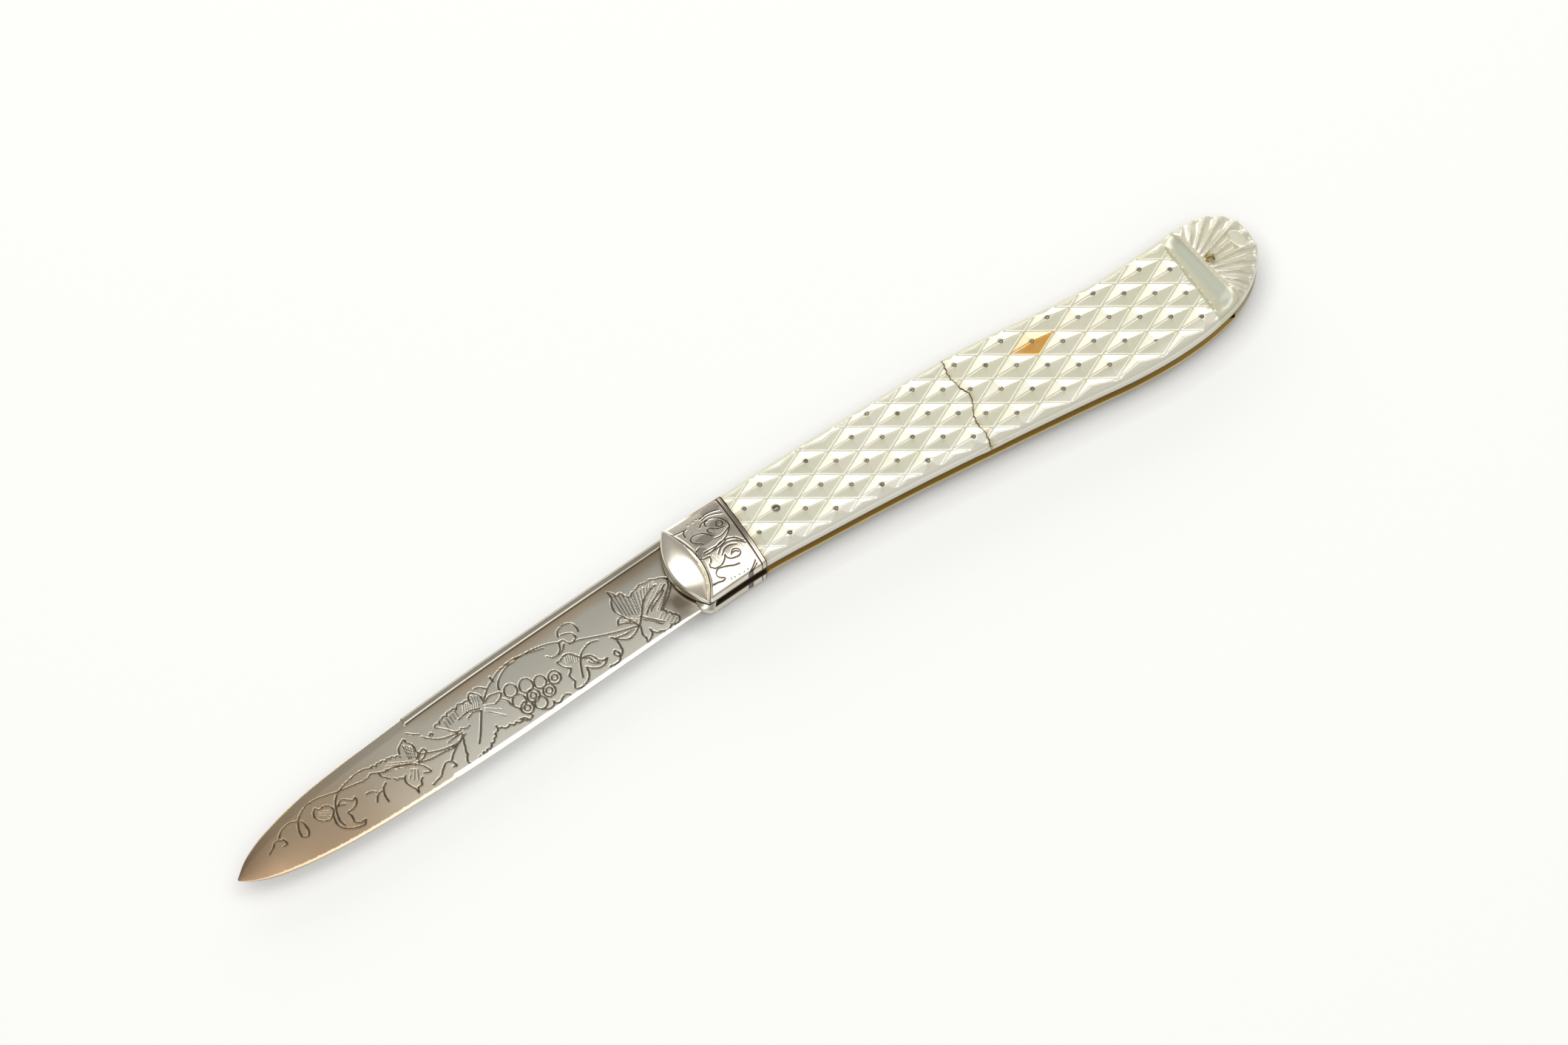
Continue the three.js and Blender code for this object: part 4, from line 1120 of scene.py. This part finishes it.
# Grapevine engraving, read from the photograph in its pixels
vine = {
    "bigLeafLeft": [
        (864.8, 845), (843, 834), (831, 827), (827.5, 821), (826, 815), (826.5, 809), (820.5, 801.5),
    ],
    "bigLeafTop": [
        (820.5, 801.5), (828, 803), (833, 806), (838, 802.5), (844, 806), (851.5, 807), (854, 802),
        (858.5, 798), (864, 791.5), (870.5, 789), (877.5, 784.5), (884, 784), (891, 782), (899, 781.5),
        (905, 782.5),
    ],
    "bigLeafEdge": [
        (905, 782.5), (907, 786), (907, 792), (905.5, 798.5), (903.5, 805), (901, 812), (898, 818.5),
        (895, 824.5),
    ],
    "bigLeafFold": [(902.5, 784), (903.5, 792), (901.5, 798.5), (899, 808), (897, 814.5), (893.5, 824.5)],
    "bigLeafLobe": [
        (843.2, 833.3), (838.5, 835.2), (835.4, 839.6), (836.2, 845.3), (840, 843.8), (845.3, 842.5),
        (863.2, 843.8),
    ],
    "bigLeafVein": [
        (864.8, 845), (867, 833), (868, 822.5), (870, 811.5), (873.5, 805), (879, 797.5), (885.5, 791),
    ],
    "bigLeafRib": [(866, 833), (879, 836.5), (898, 840)],
    "bigLeafRibTwin": [(867, 836), (880, 839.5), (896, 842.5)],
    "bigLeafFlow": [(874, 830), (878, 820), (884, 810), (892, 800), (898, 790)],
    "bigLeafFlowTwin": [(880, 826), (886, 815), (893, 806), (897, 798)],
    "bigLeafSpur": [
        (866, 846.5), (869, 857), (873.5, 861.5), (875.5, 867), (880, 861.5), (882, 855), (880, 850.5),
    ],
    "stemUpper": [
        (864.8, 845), (848.5, 850.5), (833, 855), (816, 859), (798.5, 862.5), (781.5, 866), (771.5, 870),
    ],
    "stemLower": [(864, 846.5), (857, 858), (850.5, 863.5), (840, 864.5), (832, 863.5), (827, 862)],
    "stemMiddle": [(832, 863), (848.5, 856), (857, 850.5)],
    "curlRight": [
        (825.5, 862), (834, 866), (838.5, 872.5), (841.5, 879), (838.5, 886.5), (834, 886), (830, 882),
        (831, 879.5), (835.5, 880.5), (838.5, 887.5), (837.5, 893), (832, 897.5), (825, 900.5),
    ],
    "smallLeafStem": [
        (807.5, 866), (796.5, 870), (790, 876.5), (785.5, 884.5), (784.5, 892), (786, 905), (788, 915),
    ],
    "smallLeafLeft": [
        (785.5, 889.5), (779, 886.5), (772.5, 884.5), (765, 885), (759.5, 889.5), (756, 894.5),
        (753, 895), (758.5, 900), (764, 902.5), (771.5, 903),
    ],
    "smallLeafLow": [
        (771.5, 903), (771, 909), (769.5, 912.5), (773.5, 917), (777.5, 921), (777, 924.5),
        (778.5, 930), (783.5, 930), (790, 925.5), (794.5, 920), (796.5, 913.5), (796, 908),
        (793, 901.5),
    ],
    "smallLeafRight": [
        (793, 901.5), (801, 903), (809.5, 902.5), (816, 899.5), (819, 895), (820.5, 888.5), (817, 892),
        (809.5, 892), (803, 887.5), (797.5, 886), (791, 887.5), (785.5, 891),
    ],
    "smallLeafFold": [(790, 890), (797, 889), (802, 893), (811, 895.5), (803, 897), (796, 894)],
    "knot": [
        (771.5, 870), (766, 868.5), (761, 866), (756, 868.5), (757, 879), (751, 887.5), (745.5, 889.5),
        (739, 888),
    ],
    "knotTwin": [(762, 871), (760, 880), (755, 886)],
    "loopOuter": [
        (754, 861.5), (753, 855), (757.5, 848.5), (765, 844), (773.5, 844), (779, 848.5), (781.5, 854),
    ],
    "loopInner": [(757.5, 859.5), (766, 857), (773.5, 857), (778, 861.5), (774.5, 868), (770.5, 871)],
    "archUpper": [
        (756, 869), (744.5, 870.5), (733.5, 873.5), (720.5, 878.5), (703, 887.5), (692.5, 892),
        (681.5, 900.5), (672.5, 909), (666.5, 918), (658.5, 932), (655.5, 940.5), (653, 950.5),
    ],
    "archLower": [
        (734, 877), (720.5, 881.5), (709.5, 885), (701, 889.5), (692.5, 896), (684.5, 902.5),
        (678, 911.5), (674, 920), (673, 928.5), (675, 933),
    ],
    "archBarb": [(662, 915.5), (666.5, 922)],
    "archShadow": [(640.5, 932), (647, 930), (656.5, 931)],
    "grapeCurl": [
        (733.5, 958.5), (744.5, 957), (749, 951.5), (748.5, 947), (752, 950), (758, 948), (760.5, 943),
        (765, 938.5), (771.5, 938),
    ],
    "leafPetalLeft": [(653, 948), (649, 941.5), (642.5, 938.5), (635, 937.5), (632.5, 944), (635, 949.5)],
    "leafPetalRight": [
        (655.5, 949.5), (661, 941.5), (668.5, 938.5), (677, 937), (677, 940.5), (674, 947),
        (669.5, 951.5),
    ],
    "leafLeftLow": [(588, 984.5), (598, 986), (605.5, 987.5), (612, 989.5), (619.5, 989), (623, 987.5)],
    "leafLeftBarb": [(623, 985), (629.5, 985), (635, 981)],
    "leafLeftVein": [(651, 960.5), (640.5, 963), (632.5, 971.5)],
    "leafLeftVeinTwin": [(648, 957.5), (634, 962), (627, 967), (620, 973)],
    "leafRightTop": [
        (678, 945), (686, 947), (692.5, 953.5), (701, 957), (709.5, 963.5), (718.5, 965.5),
        (720.5, 966.5),
    ],
    "leafRightCurl": [(703, 972), (711, 970), (716, 972.5)],
    "leafDownVein": [(650.5, 962), (650, 978.5), (649.5, 991.5), (648, 1004.5)],
    "stemPairUpper": [(625, 989.5), (616.5, 996), (606.5, 1003.5)],
    "stemPairMiddle": [(629.5, 991.5), (620.5, 1002.5), (603.5, 1012), (581.5, 1017.5), (566.5, 1020)],
    "stemPairLower": [(627, 995), (618.5, 1007), (599, 1017.5), (581.5, 1026.5), (566, 1031.5)],
    "hangingStem": [(626, 992.5), (622, 1001.5), (616.5, 1011), (612.5, 1020), (610.5, 1028.5)],
    "hangingCurl": [(613, 1036), (617, 1035), (614, 1030.5), (607.5, 1029.5), (602.5, 1031.5), (600, 1037)],
    "hangingTail": [(600, 1037), (598, 1042.5), (597, 1048), (591.5, 1054.5), (586, 1060.5)],
    "thirdUpper": [
        (540, 1020), (538.5, 1013.5), (541, 1007.5), (546, 1000.5), (549, 1004.5), (555, 1006),
        (559, 1009.5), (562, 1015.5), (565, 1018), (563, 1026),
    ],
    "thirdPetal": [
        (565, 1026), (567.5, 1018), (572.5, 1012.5), (575.5, 1014.5), (574.5, 1021), (570.5, 1027),
        (565, 1030),
    ],
    "thirdLongLow": [(501, 1046.5), (512, 1046.5), (516.5, 1050.5), (521.5, 1051.5), (526.5, 1052.5)],
    "thirdVein": [(501, 1046.5), (516.5, 1044.5), (534.5, 1037), (550, 1033.5), (562, 1033)],
    "thirdRight": [
        (562, 1034), (571.5, 1035), (577.5, 1038), (582.5, 1042), (577.5, 1044.5), (573.5, 1044.5),
    ],
    "thirdDownLeft": [
        (548, 1048.5), (547, 1053.5), (550, 1058.5), (557, 1063.5), (563, 1066.5), (566.5, 1071),
    ],
    "thirdDownRight": [(571.5, 1050.5), (569.5, 1054.5), (570.5, 1060.5), (565.5, 1064.5), (566.5, 1071)],
    "thirdFoot": [(533, 1052.5), (537, 1054.5), (540, 1052.5), (546, 1052)],
    "tendrilFirst": [
        (502, 1039), (492, 1041), (479.5, 1048.5), (469.5, 1057.5), (461, 1066.5), (455, 1076),
        (453, 1085), (454, 1093.5), (456, 1101.5), (460, 1109.5), (466.5, 1115.5),
    ],
    "cupLow": [
        (451, 1103.5), (453, 1109.5), (459, 1116.5), (467.5, 1120), (476.5, 1120), (485.5, 1118),
        (493, 1114.5), (494.5, 1107.5),
    ],
    "cupInner": [
        (494.5, 1107.5), (491, 1110.5), (484.5, 1112.5), (479.5, 1110.5), (477, 1105.5),
        (474.5, 1101.5), (470.5, 1098.5),
    ],
    "cupTop": [(470.5, 1098.5), (477.5, 1093.5), (481.5, 1087), (481.5, 1081), (479.5, 1078)],
    "cupLip": [(479.5, 1078), (477.5, 1082), (469.5, 1082), (462, 1082), (456, 1090)],
    "cupFold": [(456, 1092), (460, 1089.5), (466, 1087.5)],
    "budTop": [(451, 1094.5), (447, 1091), (441, 1090), (435.5, 1092), (431.5, 1095.5), (425.5, 1093.5)],
    "budLow": [
        (425.5, 1093.5), (423.5, 1099.5), (425.5, 1105.5), (431.5, 1109.5), (440, 1110.5),
        (447, 1107.5), (450, 1102.5), (451, 1094.5),
    ],
    "tendrilSecond": [
        (501, 1046.5), (497, 1052.5), (491, 1056.5), (479.5, 1061.5), (467.5, 1066.5), (457, 1071),
        (443, 1075.5), (430.5, 1080), (420.5, 1085), (412, 1092), (406, 1101.5), (403, 1110.5),
        (403, 1118), (406, 1127), (411, 1132.5), (416.5, 1131), (417.5, 1125), (413.5, 1116.5),
        (408, 1111.5), (400, 1111.5), (390, 1114.5), (382.5, 1121), (378.5, 1128), (377, 1134),
    ],
    "endCurl": [(382.5, 1135), (386.5, 1138), (388, 1142), (384, 1144.5)],
    "endTail": [(382.5, 1137), (375.5, 1138), (371.5, 1140), (369.5, 1146.5), (364.5, 1155.5)],
    "strayRight": [(521.5, 1058.5), (518.5, 1064.5), (519.5, 1073), (525.5, 1083)],
    "strayMiddle": [(516.5, 1069), (511, 1075), (510, 1084)],
    "strayLeft": [(509, 1071), (502, 1071), (495, 1074)],
    "dashUpper": [(549, 992), (557, 993.5), (565.5, 993.5)],
    "dashLong": [(569.5, 996.5), (579.5, 999), (594, 999.5), (606, 996.5), (618.5, 991)],
    "dashRing": [(580.5, 994), (582.5, 991.5), (584.5, 993.5), (582.5, 995.5), (580.5, 994)],
}
# Toothed edges of the leaves: how far the teeth bulge, and the corners between them
teeth = [
    (-0.3, [(893.5, 824.5), (901.6, 828.7), (909.5, 830), (919, 836.6)]),
    (-0.22, [(919, 836.6), (908, 843), (893.7, 852.4), (884, 853), (879, 849.7)]),
    (0.3, [
        (637, 951), (624.5, 952), (616.6, 959.7), (608.7, 962.4), (603.4, 969), (596.8, 973),
        (594.2, 979.5), (587, 984),
    ]),
    (-0.3, [
        (670.5, 980.8), (669.2, 991.3), (667.9, 997.9), (664, 1004.5), (658.7, 1012.4),
        (653.4, 1016.3), (649.5, 1021.6), (633, 1030),
    ]),
    (0.12, [(625, 992.5), (627.1, 999.6), (629, 1008.4), (632.4, 1019), (633, 1030)]),
    (0.3, [
        (541, 1023.5), (534, 1025), (527, 1026.5), (521, 1030), (514, 1032.5), (508, 1037),
        (501, 1039),
    ]),
    (-0.28, [(720.5, 966.5), (707.4, 972), (698.2, 975.5), (689, 978.6), (678.4, 983), (670.5, 980.8)]),
]
# Grapes: pixel of the middle, radius in pixels, and of the inner ring where there is one
grapes = [
    (690, 934, 9.0, 0), (711, 927, 9.5, 0), (730, 922, 8.5, 0), (749.5, 915.5, 8.7, 4), (702, 948, 9.5, 0),
    (721, 940, 8.7, 4), (742.5, 933, 8.5, 4.5), (713, 956.5, 8.7, 4), (731.5, 949.5, 8.7, 0),
]
# Hatching, as the scrolls have it
vineHatch = [
    ((764, 887), (766, 896), 6, (3.0, -0.4)), ((626, 953), (627, 963), 8, (2.9, -0.6)),
    ((600, 975), (606, 984), 5, (3.6, -3.6)), ((432, 1098), (446, 1097), 3, (0, 3.2)),
    ((636.5, 941), (640, 949), 3, (3.6, 0.4)),
]
# Fans of strokes: first and last start, first and last end, how many
vineFans = [
    ((822.7, 802.7), (852.6, 804.6), (843.2, 833.7), (864.2, 830.5), 6),
    ((855.2, 803.2), (883.2, 786.9), (864.8, 826.9), (878.3, 796.2), 7),
    ((874.1, 821.1), (889.5, 825.3), (888.4, 789.5), (903.2, 791.6), 4),
    ((895.8, 828.4), (915.8, 833.7), (892.6, 835.8), (910.5, 843.2), 5),
    ((841, 836), (838, 843), (861, 838), (861, 843), 3),
    ((656, 954), (656, 962), (671, 952), (684, 967), 3),
    ((543.5, 1008), (557.5, 1011), (553, 1027), (561.5, 1025), 5),
    ((556, 1030), (557, 1035), (523, 1033), (519, 1045), 4),
    ((557, 1040), (564, 1040), (554, 1053), (566, 1055), 3),
]


# Strokes that spread like a fan: evenly from one line of starts to one line of ends
def fanned(families, height, width, strength):
    cuts = []
    for first, last, firstEnd, lastEnd, count in families:
        share = np.linspace(0, 1, count)[:, None]
        starts = (1 - share) * np.array(first) + share * np.array(last)
        ends = (1 - share) * np.array(firstEnd) + share * np.array(lastEnd)
        cuts += [(onFace(np.array(pair), height), width, strength) for pair in zip(starts, ends)]
    return cuts


# A ring of cuts: a circle drawn on the picture and laid on the face
def ringCut(x, y, radius, height, width):
    angle = np.linspace(0, 2 * math.pi, 26)
    ring = np.column_stack([x + radius * np.cos(angle), y + radius * np.sin(angle)])
    return (onFace(ring, height), width, 1.0)


# A toothed edge: between neighbouring corners an arc that bulges to one side
def toothed(bulge, corners, height):
    corners = np.array(corners, float)
    step = np.diff(corners, axis=0)[:, None]
    aside = np.stack([-step[..., 1], step[..., 0]], axis=-1)
    t = np.linspace(0, 1, 6)[None, :-1, None]
    arcs = corners[:-1, None] + t * step + 4 * t * (1 - t) * bulge * aside
    return onFace(np.vstack([arcs.reshape(-1, 2), corners[-1:]]), height)


# All the cuts of the vine: lines, toothed edges, grapes and, somewhat finer, the hatching
def vineCuts(half):
    level = blade["face"]
    cuts = curved(vine, level, half, 1.0)
    cuts += [(toothed(bulge, corners, level), half, 1.0) for bulge, corners in teeth]
    for x, y, radius, inner in grapes:
        cuts.append(ringCut(x, y, radius, level, half))
        if inner:
            cuts.append(ringCut(x, y, inner, level, 0.9 * half))
    cuts += hatched(vineHatch, level, 0.7 * half, 0.85)
    return cuts + fanned(vineFans, level, 0.7 * half, 0.88)


# Half the blade's thickness across it: along the back a rib, its outer side sloping to the back,
# its inner side to the edge, with a groove beside it; a flat that thins a little; and the ground
# strip down to the edge. Past the rib's end the back is bevelled instead
def bladeProfile(fromBack, width, bevel, share, ribbed):
    b = blade
    rib = np.interp(
        fromBack / share,
        [0, 0.06, 0.72, 0.78, 0.98, 1.1, 1.2, b["ribWidth"]],
        [0.4, 0.47, 0.59, b["ribHalf"], 0.56, 0.45, 0.44, b["flatHalf"]],
    )
    plain = np.interp(
        fromBack / share,
        [0, 0.06, 0.7, 0.8, b["ribWidth"]],
        [0.3, 0.34, 0.425, 0.44, b["flatHalf"]],
    )
    near = plain + ribbed * (rib - plain)
    start, end = b["ribWidth"] * share, width - bevel
    along = np.clip((fromBack - start) / (end - start), 0, 1)
    flat = b["flatHalf"] + (b["brinkHalf"] - b["flatHalf"]) * along**2
    fall = math.tan(math.radians(b["groundAngle"]))
    ground = b["brinkHalf"] - fall * np.clip(fromBack - end, 0, None) / share
    ground = np.where(fromBack > width - 1e-6, b["edgeHalf"], np.maximum(ground, b["edgeHalf"]))
    return share * np.where(fromBack < start, near, np.where(fromBack < end, flat, ground))


# Blade: the profile carried from heel to tip between the curves of back and edge. The vine is cut
# into the front face; the back face has fewer lines
def makeBlade():
    b = blade
    outline = smoothThrough(b["stations"], 24)[::-1]
    heelX, tipX = b["stations"][0][0], b["stations"][-1][0]
    x = np.arange(heelX, b["fineFrom"], -b["step"])
    x = np.concatenate([x, np.linspace(b["fineFrom"], tipX, 18)])
    back, edge = (np.interp(x, outline[:, 0], outline[:, column]) for column in (1, 2))
    share = np.minimum(1, (back - edge) / b["fullWidth"])
    strip = np.array(b["ground"])[::-1]
    worn = ease(-x, -b["nickAt"], -b["nickAt"] + 0.3)
    ragged = worn * 0.03 * (np.sin(4.1 * x) + np.sin(9.7 * x + 1) + 0.7 * np.sin(17 * x)) * share
    bevel = np.interp(x, strip[:, 0], strip[:, 1]) * share * (1 + 3.0 * ragged)
    edge = edge + 0.6 * np.abs(ragged) + 0.1 * np.exp(-(((x - b["nickAt"]) / 0.2) ** 2))
    width = back - edge
    ribbed = ease(x, b["ribEnd"] - b["ribRunOut"], b["ribEnd"])
    start, end = b["ribWidth"] * share, width - bevel
    x, back, width, bevel, share, ribbed, start, end = (
        values[:, None] for values in (x, back, width, bevel, share, ribbed, start, end)
    )
    onRib, onGround = np.array(b["ribShares"]), np.array(b["groundShares"])
    onFlat = np.linspace(0, 1, b["flatLines"], endpoint=False)
    fromBack = [onRib * start, start + onFlat * (end - start), end + onGround * bevel]
    fromBack = np.concatenate(fromBack, axis=1)
    half = bladeProfile(fromBack, width, bevel, share, ribbed)
    y = back - fromBack
    xs = np.broadcast_to(x, y.shape)
    plainFace = ease(fromBack, start - 0.05, start + 0.1) * ease(end - fromBack, -0.02, 0.1)
    line = cutField(xs, y, vineCuts(b["cutHalf"])) * plainFace
    front = half - b["cutDepth"] * line
    # The dark in the cuts, patina, laid towards the edge: painted shade on that side of each cut
    stain = cutField(xs, y + b["stain"], vineCuts(2 * b["cutHalf"])) * plainFace
    groove = np.exp(-(((fromBack / share - b["grooveAt"][0]) / b["grooveAt"][1]) ** 2)) * ribbed
    under = np.r_[0:16:3, 16:102:7, 102:109:3][::-1]
    rings = [
        np.stack([xs, y, front], axis=-1),
        np.stack([xs[:, under], y[:, under], -half[:, under]], axis=-1),
    ]
    ground = ease(fromBack, end - 0.05, end + 0.05)
    backTint = ease(-fromBack, -3.0, -1.5) * ease(x, -50.0, -36.0)
    backTint = backTint * (0.35 * ease(fromBack, 0.7, 0.8) + 0.65 * ease(fromBack, 0.98, 1.2))
    low = ease(-x, 48.0, 62.0) * np.clip(fromBack / width, 0, 1) * (1 - ground)
    # Painted shade at the heel beside the bolster and on the rib's outer slope; tarnish along the back of
    # the heel
    fromHeel = np.hypot((xs - b["heel"][0]) / b["heel"][2], (y - b["heel"][1]) / b["heel"][3])
    dull = np.clip(ease(-fromHeel, -1.1, -0.3) * (0.9 + 0.4 * wander(xs, y, 2.6, 0.4)), 0, 1)
    dull = np.maximum(dull, 0.5 * ease(-fromBack, -4.5, -1.0) * ease(x, -19.0, -10.0)) * (1 - ground)
    outside = ease(-fromBack / share, -0.78, -0.7) * ribbed
    dull = np.maximum(dull, outside * (0.35 + 0.65 * ease(-fromBack, -0.14, -0.06)))
    marks = {"cut": np.maximum(stain, groove), "line": line, "ground": ground}
    marks = {**marks, "back": backTint, "low": low, "dull": dull}
    marks = {mark: np.concatenate([here, 0 * here[:, under]], axis=1) for mark, here in marks.items()}
    body = tubeMesh("blade_body", np.concatenate(rings, axis=1), bladeSilver, marks)
    fit(body, "blade", "blade_silver", "blade")


# Tang: a flat plate between the liners, round about the pivot with two flats
tang = {
    "corners": [
        (-3.5, -5.15), (-4.3, -6.0), (-4.75, -5.95), (-5.7, -5.1), (-5.7, -3.8), (-4.4, -3.2), (-4.4, 6.2),
        (-1.8, 6.25),
    ],
    "camRadius": 4.2,
    "flatRelief": 0.12,
    "closed": 172.0,
    "halfThickness": 0.6,
    "edge": 0.05,
}


# Outline of the tang: its corners, then the cam as a circle cut by two straight flats, which face
# the spring when the knife is open and when it is closed
def makeTang():
    t = tang
    start = math.acos(t["corners"][-1][0] / t["camRadius"])
    angle = np.linspace(start, -start, 60)
    flats = np.radians([90.0, 90.0 - t["closed"]])
    facing = np.cos(angle[:, None] - flats[None])
    reach = np.where(facing > 0, (t["camRadius"] - t["flatRelief"]) / np.maximum(facing, 1e-3), 1e3)
    reach = np.minimum(t["camRadius"], reach.min(axis=1))
    cam = np.column_stack([reach * np.cos(angle), reach * np.sin(angle)])
    outline = np.vstack([t["corners"], cam])
    half = t["halfThickness"]
    piece = plateMesh("blade_tang", outline, -half, half, t["edge"], bladeSilver)
    fit(piece, "blade", "blade_silver")


makeBlade()
makeTang()
print("blade engraved")

# CAD nodes that stay: both are hidden inside the knife
for name, finish in (("pivot_pin", springSteel), ("spring_rivet", rivetBrass)):
    for slot in frame["nodes"][name].material_slots:
        slot.material = finish

# Floor, lamps and world
stage = {
    "floor": seen(180, 180, 177),
    "floorReach": 3.0,  # m
    "floorGlow": 0.59,  # what the camera and the metal see of it beside the light that falls on it
    "shadeReach": 4.0,  # how far from the knife the floor's glow is dimmed as painted shadow, mm
    "world": 0.38,
    "lamps": [
        # name, place in mm, target in mm, size in mm, brightness of its face
        ("overhead", (30, 21, 620), (30, 21, 0), (880, 248), 1.9),
        ("back_low", (220, 560, 240), (60, 0, 0), (940, 270), 2.45),
        ("front_low", (-230, -500, 460), (0, 0, 0), (700, 200), 1.3),
        ("right_high", (480, -280, 560), (40, 0, 0), (420, 420), 0.3),
    ],
}


# The floor glows for camera and glossy rays only, dimmed close to the knife by ambient occlusion as a
# painted shadow. A lamp's power is the brightness of its face x pi x its area
def makeStage():
    reach = stage["floorReach"]
    corners = [(-reach, -reach, 0), (reach, -reach, 0), (reach, reach, 0), (-reach, reach, 0)]
    mesh = bpy.data.meshes.new("floor")
    mesh.from_pydata(corners, [], [(0, 1, 2, 3)])
    floor = bpy.data.objects.new("floor", mesh)
    scene.collection.objects.link(floor)
    f = Finish("pale_floor", "ShaderNodeAddShader")
    ray = f.add("ShaderNodeLightPath", output="Is Camera Ray")
    glossy = f.add("ShaderNodeLightPath", output="Is Glossy Ray")
    lit = f.add("ShaderNodeBsdfDiffuse", None, {"Color": stage["floor"]})
    near = {"Distance": stage["shadeReach"] * 0.001}
    # Ambient occlusion dims the glow beside the knife: a painted contact shadow
    clear = f.add("ShaderNodeAmbientOcclusion", {"samples": 8}, near, output="AO")
    strength = (ray + glossy) * clear * stage["floorGlow"]
    glow = f.add("ShaderNodeEmission", None, {"Color": (1.0, 1.0, 0.99), "Strength": strength})
    f.plug(f.shader, {0: lit, 1: glow})
    mesh.materials.append(f.material)
    world = bpy.data.worlds.new("studio")
    world.use_nodes = True
    sky = world.node_tree.nodes["Background"].inputs
    sky[0].default_value = (1.0, 0.99, 0.97, 1)
    sky[1].default_value = stage["world"]
    scene.world = world
    for name, place, target, size, face in stage["lamps"]:
        lamp = bpy.data.lights.new(name, "AREA")
        lamp.shape = "RECTANGLE"
        lamp.size, lamp.size_y = size[0] * 0.001, size[1] * 0.001
        lamp.energy = face * math.pi * lamp.size * lamp.size_y
        lampObject = bpy.data.objects.new(name, lamp)
        lampObject.location = Vector(place) * 0.001
        aim = Vector(target) - Vector(place)
        lampObject.rotation_mode = "QUATERNION"
        lampObject.rotation_quaternion = aim.to_track_quat("-Z", "Y")
        scene.collection.objects.link(lampObject)


makeStage()
print("stage set")
